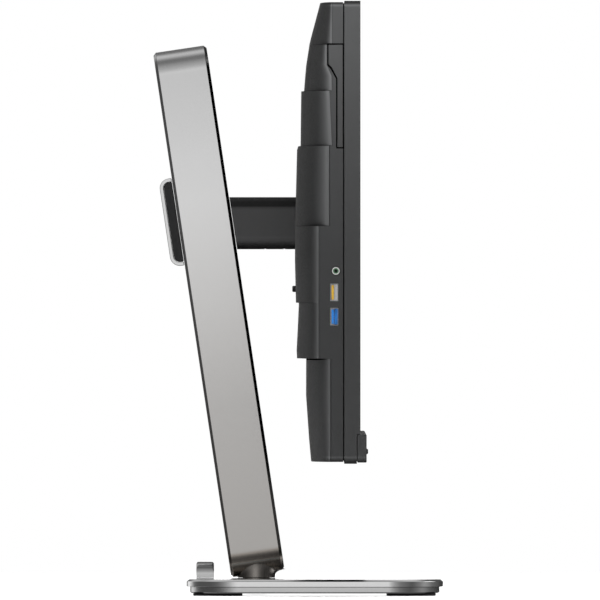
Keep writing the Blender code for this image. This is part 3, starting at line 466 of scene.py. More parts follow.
PAINTS = {
    "cover": lambda: moulded("cover_plastic", (0.036, 0.0365, 0.037), 0.55, 1300, 0.06, 0.15, SWELL_PAINTED_SHADE,
                             SIDE_PAINTED_LIGHT),
    "bezel": lambda: moulded("bezel_plastic", (0.036, 0.0365, 0.037), 0.5, 2100, 0.03, 0.3, SIDE_PAINTED_LIGHT),
    "trim": lambda: moulded("trim_plastic", (0.036, 0.0365, 0.037), 0.5, 1300, 0.06, 0.3, SIDE_PAINTED_LIGHT),
    "black": lambda: moulded("black_plastic", (0.012, 0.012, 0.013), 0.5, 1700, 0.04),
    "arm": lambda: moulded("arm_plastic", (0.066, 0.066, 0.067), 0.5, 1500, 0.05, 0.15, ARM_PAINTED_LIGHT),
    # Near-black without sheen: painted shadow for the gaps
    "gap": lambda: moulded("gap_lining", (0.004, 0.004, 0.004), 0.8, 1500, 0.05, 0.0),
    "column": column_metal,
    "base": lambda: brushed("base_aluminium", (0.84, 0.84, 0.84), 0.15, "X", strength=0.04),
    "clip": lambda: brushed("clip_aluminium", (0.84, 0.84, 0.84), 0.2, "X"),
    "steel": lambda: brushed("satin_steel", (0.60, 0.60, 0.60), 0.26, "X"),
    "hook": lambda: brushed("hook_steel", (0.62, 0.62, 0.62), 0.2, "X"),
    "neck": lambda: brushed("neck_metal", (0.36, 0.335, 0.31), 0.3, "Z", painted_light=NECK_PAINTED_SHADE),
    "shell": lambda: brushed("socket_shell", (0.62, 0.62, 0.63), 0.24, "X", strength=0.05),
    "gold": lambda: brushed("contacts", (0.85, 0.62, 0.25), 0.25, "X", strength=0.05),
    "under": lambda: brushed("underplate_steel", (0.66, 0.66, 0.66), 0.22, "X", strength=0.08),
    "screen": screen_coating,
    "border": lambda: glossy("screen_border", (0.006, 0.006, 0.007), 0.2),
    "lens": lambda: glossy("lens", (0.02, 0.02, 0.022)),
    "rubber": rubber,
    "board": circuit_board,
    "yellow": lambda: moulded("yellow_plastic", (0.55, 0.33, 0.03), 0.4, 2500, 0.02),
    "blue": lambda: moulded("blue_plastic", (0.01, 0.17, 0.55), 0.4, 2500, 0.02),
    "green": lambda: moulded("green_plastic", (0.10, 0.20, 0.12), 0.4, 2500, 0.02),
    "nickel": lambda: brushed("nickel", (0.9, 0.9, 0.88), 0.3, "X", strength=0.03),
}
mixed = {}


def paint(name):
    """Material by its name, made when it is first asked for."""
    if name not in mixed:
        mixed[name] = PAINTS[name]()
    return mixed[name]


# -------- modelling helpers

def mesh_from(name, work):
    mesh = bpy.data.meshes.new(name)
    work.to_mesh(mesh)
    work.free()
    return mesh


def face_outwards(work):
    bmesh.ops.recalc_face_normals(work, faces=work.faces)
    if work.calc_volume(signed=True) < 0:
        bmesh.ops.reverse_faces(work, faces=work.faces)


def box(name, low, high, bevel=0.0, segments=3):
    low, high = Vector(low), Vector(high)
    work = bmesh.new()
    bmesh.ops.create_cube(work, size=1, matrix=Matrix.Translation((low + high) / 2)
                          @ Matrix.Diagonal((*(high - low), 1)))
    obj = link(bpy.data.objects.new(name, mesh_from(name, work)))
    if bevel:
        soften(obj, bevel, segments)
    return obj


def cylinder(name, centre, radius, length, axis, sides=48):
    turn = {"X": Matrix.Rotation(math.pi / 2, 4, "Y"), "Y": Matrix.Rotation(math.pi / 2, 4, "X"),
            "Z": Matrix.Identity(4)}[axis]
    work = bmesh.new()
    bmesh.ops.create_cone(work, cap_ends=True, segments=sides, radius1=radius, radius2=radius, depth=length,
                          matrix=Matrix.Translation(centre) @ turn)
    return link(bpy.data.objects.new(name, mesh_from(name, work)))


def stack(name, rings, closed=False):
    """A solid through rings of the same number of points; closed joins the last to the first."""
    count = len(rings[0])
    work = bmesh.new()
    corners = [[work.verts.new(point) for point in ring] for ring in rings]
    pairs = list(zip(corners, corners[1:])) + ([(corners[-1], corners[0])] if closed else [])
    for low, high in pairs:
        for i in range(count):
            j = (i + 1) % count
            work.faces.new((low[i], low[j], high[j], high[i]))
    if not closed:
        work.faces.new(corners[0])
        work.faces.new(corners[-1])
    face_outwards(work)
    return link(bpy.data.objects.new(name, mesh_from(name, work)))


def arch(half, start, top, corner, steps, inset, drop=0.0):
    """Outline from one foot of a U up, over its two rounded corners and down to the other foot."""
    radius = corner - inset
    points = [(inset - half, start)]
    for centre, first in ((corner - half, 180), (half - corner, 90)):
        for step in range(steps + 1):
            angle = math.radians(first - 90 * step / steps)
            points.append((centre + radius * math.cos(angle),
                           top - corner + (radius - drop) * math.sin(angle)))
    return points + [(half - inset, start)]


def slab(name, outline, *across):
    """Solid with an outline of (Y, Z) corners, from one X to another."""
    return stack(name, [[(x, y, z) for y, z in outline] for x in across])


def soften(obj, width, segments=3, angle=32):
    """Round the sharp edges once the modifiers are applied."""
    bevel = obj.modifiers.new("edges", "BEVEL")
    bevel.width = width
    bevel.segments = segments
    bevel.limit_method = "ANGLE"
    bevel.angle_limit = math.radians(angle)
    bevel.harden_normals = True


def round_edges(obj, axis, width, segments):
    """Round the edges that run along an axis."""
    work = bmesh.new()
    work.from_mesh(obj.data)
    chosen = [e for e in work.edges if abs((e.verts[0].co - e.verts[1].co).normalized()[axis]) > 0.99]
    bmesh.ops.bevel(work, geom=chosen, offset=width, segments=segments, profile=0.5, affect="EDGES")
    work.to_mesh(obj.data)
    work.free()


def apply_modifiers(obj):
    """Make what the modifiers give the object's own mesh."""
    graph = bpy.context.evaluated_depsgraph_get()
    mesh = bpy.data.meshes.new_from_object(obj.evaluated_get(graph))
    obj.modifiers.clear()
    obj.data = mesh


def cut(obj, *tools):
    """Take tools away from obj; they are used up."""
    for tool in tools:
        step = obj.modifiers.new("step", "BOOLEAN")
        step.operation = "DIFFERENCE"
        step.solver = "EXACT"
        step.object = tool
    apply_modifiers(obj)
    for tool in tools:
        bpy.data.objects.remove(tool, do_unlink=True)


def smooth(obj, angle=32):
    obj.data.shade_smooth()
    obj.data.set_sharp_from_angle(angle=math.radians(angle))


def piece(obj, look, body, *nodes, angle=32):
    """Finish a piece: shading, material, the body it rides on and the CAD nodes it stands for."""
    apply_modifiers(obj)
    smooth(obj, angle)
    weigh = obj.modifiers.new("flat_faces", "WEIGHTED_NORMAL")
    weigh.keep_sharp = True
    apply_modifiers(obj)
    obj.data.materials.clear()
    obj.data.materials.append(paint(look))
    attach(obj, body)
    if nodes:
        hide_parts(*nodes)
    return obj


def rounded(width, length, corner_low, corner_high, steps=16):
    """Points of a rounded rectangle whose lower side lies at 0."""
    half = width / 2
    corners = ((half, 0, corner_low, -90), (half, length, corner_high, 0),
               (-half, length, corner_high, 90), (-half, 0, corner_low, 180))
    points = []
    for x, y, radius, start in corners:
        cx, cy = x - math.copysign(radius, x), y + (radius if y == 0 else -radius)
        for step in range(steps + 1):
            angle = math.radians(start + 90 * step / steps)
            points.append((cx + radius * math.cos(angle), cy + radius * math.sin(angle)))
    return points


# -------- base

BASE_CORNER, UNDER_CORNER = 45 * MM, 42 * MM


def base_ring(low, high, inset, z, corner):
    """A rounded rectangle around the base at one height."""
    width, depth = high.x - low.x - 2 * inset, high.y - low.y - 2 * inset
    points = rounded(width, depth, corner - inset, corner - inset)
    return [(x, y + low.y + inset, z) for x, y in points]


def plate(name, node, corner, profile):
    """A plate in the place of a CAD node; profile lists (inset, height above its bottom)."""
    low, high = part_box(node)
    return stack(name, [base_ring(low, high, inset * MM, low.z + up * MM, corner) for inset, up in profile])


def make_base():
    """Top plate with a chamfered edge over a smaller lower plate, both open for the neck's bearing."""
    neck_y = (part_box("swivel_washer")[0].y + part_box("swivel_washer")[1].y) / 2
    top = plate("base_top", "base_plate", BASE_CORNER,
                ((0.2, 0), (0, 0.2), (0, 4.2), (0.1, 4.45), (1.5, 5.9), (2.0, 6.1)))
    cut(top, cylinder("hole", (0, neck_y, 0.01), 11.4 * MM, 0.04, "Z", 64))
    piece(top, "base", "base", "base_plate")
    under = plate("base_under", "base_underplate", UNDER_CORNER,
                  ((1.3, 0), (0.9, 0.1), (0.15, 0.75), (0, 1.0), (0, 4.9)))
    cut(under, cylinder("hole", (0, neck_y, 0.005), 24.4 * MM, 0.03, "Z", 64))
    piece(under, "under", "base", "base_underplate")
    for end in ("front", "rear"):
        for side in ("left", "right"):
            make_foot(f"foot_{end}_{side}")
    make_hook()


def make_foot(node):
    """Rubber pad with rounded corners."""
    low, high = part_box(node)
    middle = (low + high) / 2
    rings = []
    for inset, z in ((0.5, 0), (0.1, 0.25), (0, 0.6), (0, 1.8)):
        corner = (8 - inset) * MM
        points = rounded(high.x - low.x - 2 * inset * MM, high.y - low.y - 2 * inset * MM, corner, corner, 8)
        rings.append([(x + middle.x, y + low.y + inset * MM, z * MM + low.z) for x, y in points])
    pad = stack("pad_" + node, rings)
    piece(pad, "rubber", "base", node)


def make_hook():
    """Sheet-metal arch behind the neck; the cables pass under it."""
    low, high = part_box("cable_hook")
    sheet, corner, steps = 2 * MM, 10 * MM, 14
    edges = ((0.0, 1.5), (0.15, 0.9), (0.5, 0.4), (1.0, 0.1), (1.6, 0.0))
    front = [(low.y + inward * MM, drop) for inward, drop in edges]
    rear = [(high.y - inward * MM, drop) for inward, drop in reversed(edges)]
    inner = arch(high.x, low.z, high.z, corner, steps, sheet)
    rings = []
    for y, drop in front + rear:
        outer = arch(high.x, low.z, high.z, corner, steps, 0, drop * MM)
        rings.append([(x, y, z) for x, z in outer + inner[::-1]])
    piece(stack("hook", rings), "hook", "base", "cable_hook", angle=50)


# -------- column

COLUMN_FOOT = Vector((0, 32.9 * MM, 17 * MM))
ARM_AT_COLUMN = Vector((0, 75.5 * MM, 303.25 * MM))


def column_matrix():
    """Column's own frame, as X across, Y up along it and Z out of its front."""
    lean = Matrix(((1, 0, 0, 0), (0, math.sin(LEAN), -math.cos(LEAN), 0),
                   (0, math.cos(LEAN), math.sin(LEAN), 0), (0, 0, 0, 1)))
    return Matrix.Translation(COLUMN_FOOT) @ lean


COLUMN = column_matrix()
ARM_ALONG = (COLUMN.inverted() @ ARM_AT_COLUMN).y
WIDTH, LENGTH, DEPTH = 40 * MM, 433.3 * MM, 43.9 * MM
CORNER = 19.9 * MM


def column_ring(inset, out):
    points = rounded(WIDTH - 2 * inset, LENGTH - 2 * inset, CORNER - inset, CORNER - inset)
    return [COLUMN @ Vector((x, y + inset, out)) for x, y in points]


def make_column():
    """Aluminium loop with chamfered edges, and a dark cover set back in each face."""
    half, chamfer, wall = DEPTH / 2, 2.2 * MM, 5 * MM
    inner_edge = 0.4 * MM
    path = ((chamfer, half), (0, half - chamfer), (0, chamfer - half), (chamfer, -half),
            (wall - inner_edge, -half), (wall, inner_edge - half), (wall, half - inner_edge),
            (wall - inner_edge, half))
    loop = stack("column_loop", [column_ring(inset, out) for inset, out in path], closed=True)
    soften(loop, 0.3 * MM, 3, 20)
    piece(loop, "column", "column", "column_band", angle=24)
    slot_low, slot_high, slot_half = 177.5 * MM, 397.5 * MM, 7 * MM
    recess, edge = 4.5 * MM, 0.4 * MM
    for node, middle in (("column_front_cover", half - recess), ("column_rear_cover", recess - half)):
        rings = [column_ring(wall + 0.3 * MM + (edge if abs(z) > 1.2 * MM else 0), middle + z)
                 for z in (-1.5 * MM, -1.1 * MM, 1.1 * MM, 1.5 * MM)]
        cover = stack("panel_" + node, rings)
        slot = rounded(2 * slot_half, slot_high - slot_low, slot_half * 0.99, slot_half * 0.99, 12)
        tool = stack("slot", [[COLUMN @ Vector((x, y + slot_low, middle + z)) for x, y in slot]
                              for z in (-5 * MM, 5 * MM)])
        cut(cover, tool)
        soften(cover, 0.4 * MM, 3)
        piece(cover, "black", "column", node)


def column_floor(x, y):
    """Height of the column's underside above a point of the plane, its rounded corners included."""
    rise = CORNER - math.sqrt(max(0, CORNER ** 2 - x ** 2))
    return COLUMN_FOOT.z - (y - COLUMN_FOOT.y) * math.tan(LEAN) + rise / math.cos(LEAN)


def make_neck():
    """Round neck that swells in a hollow curve into the column's underside."""
    centre_y, radius, start = 34.3 * MM, 15.4 * MM, 13.7 * MM
    sides, steps = 96, 14

    def ring(size, height):
        angles = [2 * math.pi * i / sides for i in range(sides)]
        return [(size * math.cos(a), centre_y + size * math.sin(a), height) for a in angles]

    rings = [ring(11 * MM, 5.6 * MM), ring(11 * MM, start), ring(radius - 0.3 * MM, start),
             ring(radius, start + 0.3 * MM)]
    for step in range(steps + 1):
        turn = math.pi / 2 * step / steps
        points = []
        for i in range(sides):
            angle = 2 * math.pi * i / sides
            front, rear = max(0, -math.sin(angle)) ** 4, max(0, math.sin(angle)) ** 4
            reach = (17.0 + 6.9 * front + 2.6 * rear) * MM
            foot = (15.4 + 1.0 * rear) * MM
            top = column_floor(reach * math.cos(angle), centre_y + reach * math.sin(angle)) + 0.15 * MM
            r = radius + (reach - radius) * (1 - math.cos(turn))
            points.append((r * math.cos(angle), centre_y + r * math.sin(angle),
                           foot + (top - foot) * math.sin(turn)))
        rings.append(points)
    neck = stack("neck", rings)
    piece(neck, "neck", "column", "swivel_neck", angle=50)


# -------- carriage

def make_clip():
    """Bright band bent round a dark block on the back of the carriage."""
    along = ARM_ALONG + 4.6 * MM
    half, reach, corner, sheet, start = 36 * MM, 10.9 * MM, 8 * MM, 3 * MM, 0.4 * MM

    def placed(points, x):
        return [COLUMN @ Vector((x, along + u, -DEPTH / 2 - v)) for u, v in points]

    insets = (0, sheet, sheet + 0.2 * MM)
    outer, inner, block = (arch(half, start, reach, corner, 12, inset) for inset in insets)
    band = stack("clip_loop", [placed(outer + inner[::-1], x) for x in (-17 * MM, 17 * MM)])
    soften(band, 0.5 * MM, 3)
    piece(band, "clip", "carriage", "clip_band")
    core = stack("clip_block", [placed(block, x) for x in (-16.2 * MM, 16.2 * MM)])
    soften(core, 0.6 * MM, 3)
    piece(core, "black", "carriage", "clip_core")


def make_arm():
    """Dark cover of the arm, cut off at the column, with two small notches below."""
    low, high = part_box("arm_cover")
    edge = 7 * MM
    body = box("arm", (low.x, 1.4 * MM, low.z), (high.x, high.y + 0.03, high.z))
    round_edges(body, 1, edge, 10)
    behind = box("behind", (-60 * MM, -90 * MM, -120 * MM), (60 * MM, 90 * MM, DEPTH / 2 + 0.4 * MM))
    behind.data.transform(COLUMN @ Matrix.Translation((0, ARM_ALONG, 0)))
    cut(body, behind)
    cut(body, box("bracket", (-14.9 * MM, -0.03, 294.9 * MM), (14.9 * MM, 10.5 * MM, 311.6 * MM)))
    for y in (27.0 * MM, 11.4 * MM):
        cut(body, box("notch", (-0.03, y - 0.5 * MM, low.z - 0.001), (0.03, y + 0.5 * MM, low.z + 0.5 * MM)))
    soften(body, 0.5 * MM, 3)
    piece(body, "arm", "carriage", "arm_cover")


# -------- display

def row_table():
    """The cover from the top down, as (height, Y of its plateau, Y of its crease); a step is two rows."""
    rows = ((480.3, -17.7, -27.8), (450.6, -9.8, -27.8), (446.3, -8.9, -27.8), (446.0, -8.9, -23.6),
            (430.0, -6.4, -23.6), (421.0, -5.6, -27.6), (409.3, -4.7, -27.8),
            (409.0, -2.4, -25.9), (387.0, -2.1, -26.9), (365.0, -1.9, -27.9),
            (364.7, 0.1, -25.6), (361.7, 1.0, -25.6), (300.3, 2.5, -25.6),
            (300.0, 2.5, -17.2), (272.8, 2.7, -17.2), (238.4, 1.9, -17.2),
            (238.1, -0.5, -17.2), (222.0, 0.2, -17.2), (200.1, 1.3, -17.2), (193.4, 1.0, -17.2),
            (193.1, -6.5, -26.6), (162.1, -6.4, -26.6), (128.8, -8.7, -26.6), (110.1, -10.4, -26.6))
    return [tuple(value * MM for value in row) for row in rows]


ROWS = row_table()
WALL = 2.2 * MM
BAY_HALF, BAY_FRONT, BAY_TOP = 120 * MM, -19.6 * MM, 194.9 * MM


def cover_section(half, front, depth, crease, height):
    """One horizontal section: flat side wall, a groove at the crease, then the swell to the plateau."""
    plateau, lip, steps = 215 * MM, 0.1 * MM, 26
    grooved = 300.1 * MM < height < 364.8 * MM or height < 193.3 * MM
    deep = 1.1 * MM if grooved else 0.35 * MM
    right = [(half, front, height), (half, crease, height), (half - deep, crease + 0.05 * MM, height),
             (half - deep, crease + 0.75 * MM, height)]
    crease += 0.8 * MM
    span = half - lip - plateau
    for step in range(steps + 1):
        t = 1 - (step / steps) ** 1.7
        rise = (1 - t ** 2.6) ** 0.62
        right.append((plateau + span * t, crease + (depth - crease) * rise, height))
    return right + [(-x, y, z) for x, y, z in reversed(right)]


def fine_rows():
    """The cover's rows with extra ones between, so that its long curves are smooth."""
    rows = []
    for (z1, d1, c1), (z0, d0, c0) in zip(ROWS, ROWS[1:]):
        count = max(1, round((z1 - z0) / (9 * MM)))
        for step in range(count):
            t = step / count
            rows.append((z1 + (z0 - z1) * t, d1 + (d0 - d1) * t, c1 + (c0 - c1) * t))
    return rows + [ROWS[-1]]


def row_at(height):
    """Plateau and crease at a height."""
    for (z1, d1, c1), (z0, d0, c0) in zip(ROWS, ROWS[1:]):
        if z1 >= height >= z0:
            t = (height - z0) / (z1 - z0)
            return d0 + (d1 - d0) * t, c0 + (c1 - c0) * t
    return ROWS[-1][1:] if height < ROWS[-1][0] else ROWS[0][1:]


def cavity_row(height):
    """Plateau and crease of the hollow inside, clear of every step near a height."""
    near = [row_at(height + dz) for dz in (-WALL - 0.3 * MM, 0, WALL + 0.3 * MM)]
    return min(d for d, _ in near) - WALL, min(c for _, c in near) - WALL / 2


SEAM = 0.6 * MM
TRIM_GAP, TRIM_ROOM = 1.15 * MM, 2.1 * MM


def make_seam(half, front, bottom, top):
    """Near-black strip between the front frame and the rear cover, which stands in for the shadow in the
    seam.
    """
    shadow_strip = box("seam_gasket", (0.9 * MM - half, front - SEAM, bottom + 0.9 * MM),
                 (half - 0.9 * MM, front + 0.1 * MM, top - 0.9 * MM))
    cut(shadow_strip, box("inside", (2 * MM - half, front - 0.01, bottom + 2 * MM),
                    (half - 2 * MM, front + 0.01, top - 2 * MM)))
    piece(shadow_strip, "gap", "display")


def make_rear_cover():
    """Hollow stepped shell with the arm's square well, the bay for plugs, sockets' holes and vents."""
    low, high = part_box("rear_cover")
    half, front = high.x, low.y + 0.1 * MM
    shell = stack("rear_shell", [cover_section(half, front, d, c, z) for z, d, c in fine_rows()])
    heights = [high.z - WALL, 450 * MM, 430 * MM, 411.6 * MM, 367.4 * MM, 335 * MM, 303 * MM, 298 * MM,
               243 * MM, 237.8 * MM, 220 * MM, 196 * MM, 190.6 * MM, 162 * MM, 130 * MM, low.z + WALL]
    cavity = stack("cavity", [cover_section(half - WALL, front - 0.02, *cavity_row(z), z) for z in heights])
    plate_low, plate_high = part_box("quick_release_plate")
    middle = (plate_low + plate_high) / 2
    well, floor, window = plate_high.x + 0.7 * MM, plate_low.y - 0.4 * MM, 38 * MM
    cut(cavity, box("well_walls", (-well - WALL, floor - WALL, middle.z - well - WALL),
                    (well + WALL, 0.06, middle.z + well + WALL)),
        box("bay_walls", (-BAY_HALF - WALL, BAY_FRONT - WALL, 0.09), (BAY_HALF + WALL, 0.06, BAY_TOP + WALL)))
    tools = [cavity,
             box("well", (-well, floor, middle.z - well), (well, 0.06, middle.z + well)),
             box("window", (-window, floor - 0.01, middle.z - window),
                 (window, floor + 1 * MM, middle.z + window)),
             box("bay", (-BAY_HALF, BAY_FRONT, 0.09), (BAY_HALF, 0.06, BAY_TOP))]
    cut(shell, *tools)
    cut(shell, *socket_holes(), *side_holes(half), *vent_slots(high.z))
    soften(shell, 0.35 * MM, 2, 28)
    piece(shell, "cover", "display", "rear_cover", angle=26)
    make_seam(half, low.y, low.z, high.z)


REAR_SOCKETS = ("power_inlet", "hdmi_socket", "displayport_socket", "usb_c_socket")


def socket_holes():
    """Room for the rear sockets and for the release button."""
    tools = []
    for node in REAR_SOCKETS:
        low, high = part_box(node)
        tools.append(box("hole", (low.x - 0.3 * MM, low.y - 0.3 * MM, 0.190),
                         (high.x + 0.3 * MM, high.y + 0.3 * MM, 0.205)))
    low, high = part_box("release_button")
    tools.append(box("hole", (low.x - 0.4 * MM, -0.03, low.z - 0.3 * MM),
                     (high.x + 0.4 * MM, 0.03, high.z + 0.3 * MM)))
    return tools


def side_holes(half):
    tools = []
    for node in ("usb_shell_fast", "usb_shell_data"):
        low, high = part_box(node)
        tools.append(box("hole", (-half - 0.01, low.y - 0.25 * MM, low.z - 0.25 * MM),
                         (-half + 0.01, high.y + 0.25 * MM, high.z + 0.25 * MM)))
    low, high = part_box("audio_jack")
    middle = (low + high) / 2
    tools.append(cylinder("hole", (-half, middle.y, middle.z), 3.75 * MM, 0.02, "X", 64))
    for side in (-1, 1):
        tools.append(slab("room", trim_outline(TRIM_GAP), side * (half - TRIM_ROOM), side * (half + 0.01)))
    return tools


def vent_slots(top):
    """Two rows of slots through the cover's upper wall, which let warm air out."""
    tools = []
    first, pitch, half_width, front, rear = 20 * MM, 8 * MM, 1.3 * MM, -33 * MM, -24 * MM
    for side in (-1, 1):
        for number in range(22):
            x = side * (first + pitch * number)
            tools.append(box("slot", (x - half_width, front, top - 0.01), (x + half_width, rear, top + 0.01)))
    return tools


def trim_outline(grow):
    """Flag-shaped trim beside the seam, as (Y, Z) corners."""
    front, rear, waist = -35.9 * MM - grow, -24.4 * MM + grow, -31.6 * MM + grow
    return [(front, 363.6 * MM - grow), (waist, 363.6 * MM - grow), (waist, 419 * MM - grow * 0.4),
            (-27.0 * MM + grow, 427.8 * MM - grow), (rear, 430.5 * MM - grow), (rear, 446 * MM + grow),
            (front, 446 * MM + grow)]


def make_trims(half):
    """Flush trims in their rooms, each over a near-black sheet that stands in for the shadow seen through the
    gap round it.
    """
    for side, sign in (("left", -1), ("right", 1)):
        trim = slab("trim_" + side, trim_outline(0), sign * (half - 1.3 * MM), sign * (half - 0.05 * MM))
        soften(trim, 0.3 * MM, 3)
        piece(trim, "trim", "display", "side_trim_" + side)
        floor = half - TRIM_ROOM + 0.05 * MM
        # Painted shadow in the gap round the trim
        shadow_lining = slab("lining_" + side, trim_outline(TRIM_GAP - 0.05 * MM), sign * floor,
                      sign * (half - 1.5 * MM))
        piece(shadow_lining, "gap", "display")


def make_front():
    """Thin frame round the screen, the chin below it and the sensor's window."""
    low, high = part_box("front_frame")
    chin_low, chin_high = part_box("chin_bezel")
    body = box("bezel_frame", low, high - Vector((0, SEAM, 0)))
    round_edges(body, 1, 2.6 * MM, 10)
    wall = 2 * MM
    cut(body, box("window", (low.x + wall, low.y - 0.02, chin_high.z), (high.x - wall, 0, high.z - wall)),
        box("pocket", (low.x + wall, low.y + 5 * MM, low.z + wall), (high.x - wall, 0, high.z - wall)),
        box("chin_room", (low.x - 0.005, low.y - 0.02, low.z - 0.005),
            (high.x + 0.005, chin_high.y + 0.3 * MM, chin_high.z + 0.3 * MM)))
    holes = []
    for node in KEYS:
        key_low, key_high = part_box(node)
        holes.append(box("hole", (key_low.x - 0.3 * MM, key_low.y - 0.3 * MM, low.z - 0.01),
                         (key_high.x + 0.3 * MM, key_high.y + 0.3 * MM, low.z + 0.008)))
    cut(body, *holes)
    soften(body, 0.35 * MM, 2)
    piece(body, "bezel", "display", "front_frame")

    chin = box("chin", chin_low, chin_high)
    lens_low, lens_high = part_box("sensor_lens")
    cut(chin, box("lens_room", (lens_low.x - 0.2 * MM, low.y - 0.05, lens_low.z - 0.2 * MM),
                  (lens_high.x + 0.2 * MM, lens_high.y + 0.2 * MM, lens_high.z + 0.2 * MM)))
    soften(chin, 0.8 * MM, 4)
    piece(chin, "bezel", "display", "chin_bezel")
    lens = box("presence_lens", lens_low, lens_high, 1.2 * MM, 6)
    piece(lens, "lens", "display", "sensor_lens")
    make_screen(*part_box("lcd_panel"))


def make_screen(low, high):
    """Glass with a dark border printed round the picture area."""
    border = 5.3 * MM
    pane = box("screen_pane", low, high, 0.3 * MM, 2)
    piece(pane, "border", "display", "lcd_panel")
    film = box("screen_film", (low.x + border, low.y - 0.03 * MM, low.z + border),
               (high.x - border, low.y + 0.2 * MM, high.z - border))
    piece(film, "screen", "display")


KEYS = ("menu_button_1", "menu_button_2", "menu_button_3", "menu_button_4", "power_button")


def make_buttons():
    for node in KEYS:
        low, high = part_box(node)
        key = box("key_" + node, low, high, 0.7 * MM, 4)
        piece(key, "black", node, node)
    low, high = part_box("release_button")
    tab = box("release_tab", low, high, 1.0 * MM, 4)
    piece(tab, "black", "release_button", "release_button")


def make_side_sockets():
    """Two sockets of the flat kind, each with a tongue and four contacts."""
    for name, look in (("fast", "yellow"), ("data", "blue")):
        low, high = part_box("usb_shell_" + name)
        shell = box("usb_frame_" + name, low, high)
        cut(shell, box("mouth", (low.x - 0.01, low.y + 0.45 * MM, low.z + 0.45 * MM),
                       (high.x - 2 * MM, high.y - 0.45 * MM, high.z - 0.45 * MM)))
        soften(shell, 0.15 * MM, 2)
        piece(shell, "shell", "display", "usb_shell_" + name)
        low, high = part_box("usb_tongue_" + name)
        tongue = box("usb_blade_" + name, low, high, 0.25 * MM, 2)
        piece(tongue, look, "display", "usb_tongue_" + name)
        if name == "data":
            block = box("usb_insulator", (low.x + 2.2 * MM, low.y - 4.6 * MM, low.z - 0.6 * MM),
                        (high.x - 1 * MM, low.y - 0.3 * MM, high.z + 0.6 * MM), 0.2 * MM, 2)
            piece(block, "blue", "display")
        for number in range(4):
            z = low.z + (high.z - low.z) * (number + 0.5) / 4
            strip = box(f"usb_contact_{name}_{number + 1}",
                        (low.x + 0.6 * MM, low.y - 0.15 * MM, z - 0.5 * MM),
                        (low.x + 8 * MM, low.y + 0.1 * MM, z + 0.5 * MM), 0.05 * MM, 1)
            piece(strip, "gold", "display")


def make_jack():
    """Round audio socket with a bright ring and a green sleeve."""
    low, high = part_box("audio_jack")
    middle = (low + high) / 2
    collar = cylinder("jack_collar", (low.x + 5.6 * MM, middle.y, middle.z), 3.6 * MM, 11.2 * MM, "X", 64)
    cut(collar, cylinder("bore", (low.x, middle.y, middle.z), 1.8 * MM, 18 * MM, "X", 48))
    soften(collar, 0.3 * MM, 3)
    piece(collar, "black", "display", "audio_jack")
    for name, look, outer, inner in (("jack_ring", "nickel", 3.2, 2.2), ("jack_sleeve", "green", 2.25, 1.45)):
        ring = cylinder(name, (low.x + 1.0 * MM, middle.y, middle.z), outer * MM, 2.1 * MM, "X", 48)
        cut(ring, cylinder("bore", (low.x, middle.y, middle.z), inner * MM, 18 * MM, "X", 48))
        soften(ring, 0.2 * MM, 2)
        piece(ring, look, "display")


def make_rear_sockets():
    for node in REAR_SOCKETS:
        low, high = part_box(node)
        wall = 0.9 * MM if node == "power_inlet" else 0.45 * MM
        shell = box("frame_" + node, low, high)
        mouth = box("mouth", (low.x + wall, low.y + wall, low.z - 0.01),
                    (high.x - wall, high.y - wall, high.z - 5 * MM))
        if node == "usb_c_socket":
            round_edges(shell, 2, 1.6 * MM, 8)
            round_edges(mouth, 2, 1.15 * MM, 8)
        cut(shell, mouth)
        soften(shell, 0.15 * MM, 2)
        piece(shell, "black" if node == "power_inlet" else "shell", "display", node)
        if node == "power_inlet":
            make_inlet_blades(low, high)
            continue
        middle, half_width = (low + high) / 2, (high.x - low.x) * 0.36
        tongue = box("tongue_" + node, (middle.x - half_width, middle.y - 0.5 * MM, low.z + 1 * MM),
                     (middle.x + half_width, middle.y + 0.4 * MM, high.z - 5 * MM), 0.2 * MM, 2)
        piece(tongue, "black", "display")


def make_inlet_blades(low, high):
    """Three contact blades, the middle one set back."""
    middle, pitch = (low + high) / 2, 7 * MM
    for number in (-1, 0, 1):
        x = middle.x + number * pitch
        y = middle.y + (2 * MM if number == 0 else -1 * MM)
        blade = box(f"inlet_blade_{number + 2}", (x - 1 * MM, y - 2 * MM, low.z + 2 * MM),
                    (x + 1 * MM, y + 2 * MM, high.z - 5 * MM), 0.3 * MM, 2)
        piece(blade, "shell", "display")


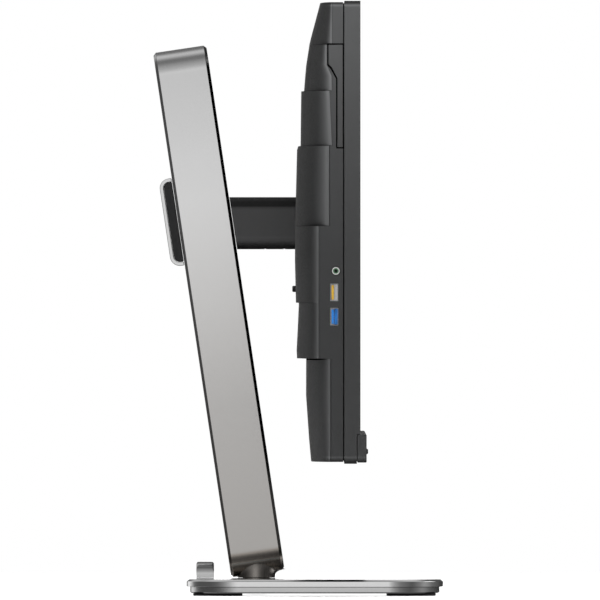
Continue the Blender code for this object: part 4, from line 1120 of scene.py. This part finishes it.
def make_mount_plate():
    """Plate that clips into the well, held by four cross-slotted screws."""
    low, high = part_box("quick_release_plate")
    middle = (low + high) / 2
    body = box("release_plate", low, high)
    tools = [cylinder("bore", (0, high.y, middle.z), 6.2 * MM, 0.03, "Y", 64)]
    screws = [f"plate_screw_{level}_{side}" for level in ("upper", "lower") for side in ("left", "right")]
    for node in screws:
        a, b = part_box(node)
        centre = (a + b) / 2
        tools.append(cylinder("room", (centre.x, high.y, centre.z), 4.4 * MM, 5 * MM, "Y", 48))
    cut(body, *tools)
    soften(body, 0.5 * MM, 3)
    piece(body, "black", "display", "quick_release_plate")
    for node in screws:
        a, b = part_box(node)
        centre = (a + b) / 2
        head = cylinder("head_" + node, centre, 4 * MM, b.y - a.y, "Y", 48)
        slots = [box("slot", (centre.x - wide, b.y - 1.2 * MM, centre.z - tall),
                     (centre.x + wide, b.y + 0.01, centre.z + tall))
                 for wide, tall in ((2.1 * MM, 0.45 * MM), (0.45 * MM, 2.1 * MM))]
        cut(head, *slots)
        soften(head, 0.25 * MM, 2)
        piece(head, "steel", "display", node)


def dress_inner_nodes():
    """CAD nodes whose shape is right keep it and get their own material."""
    looks = {"board": ("main_board", "power_board", "port_board"),
             "black": ("backlight_unit", "speaker_left", "speaker_right", "carriage", "swivel_washer"),
             "steel": ("panel_chassis", "vesa_frame", "pivot_retainer", "tilt_bracket", "tilt_shaft",
                       "tilt_knuckle", "guide_rail_left", "guide_rail_right", "lift_spring_drum",
                       "swivel_retainer", "base_thumbscrew")}
    for look, nodes in looks.items():
        for node in nodes:
            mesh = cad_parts[node].data
            mesh.materials.clear()
            mesh.materials.append(paint(look))
            mesh.shade_smooth()
            mesh.set_sharp_from_angle(angle=math.radians(32))


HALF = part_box("rear_cover")[1].x
make_stage()
make_base()
make_column()
make_neck()
make_clip()
make_arm()
make_rear_cover()
make_trims(HALF)
make_front()
make_buttons()
make_side_sockets()
make_jack()
make_rear_sockets()
make_mount_plate()
dress_inner_nodes()
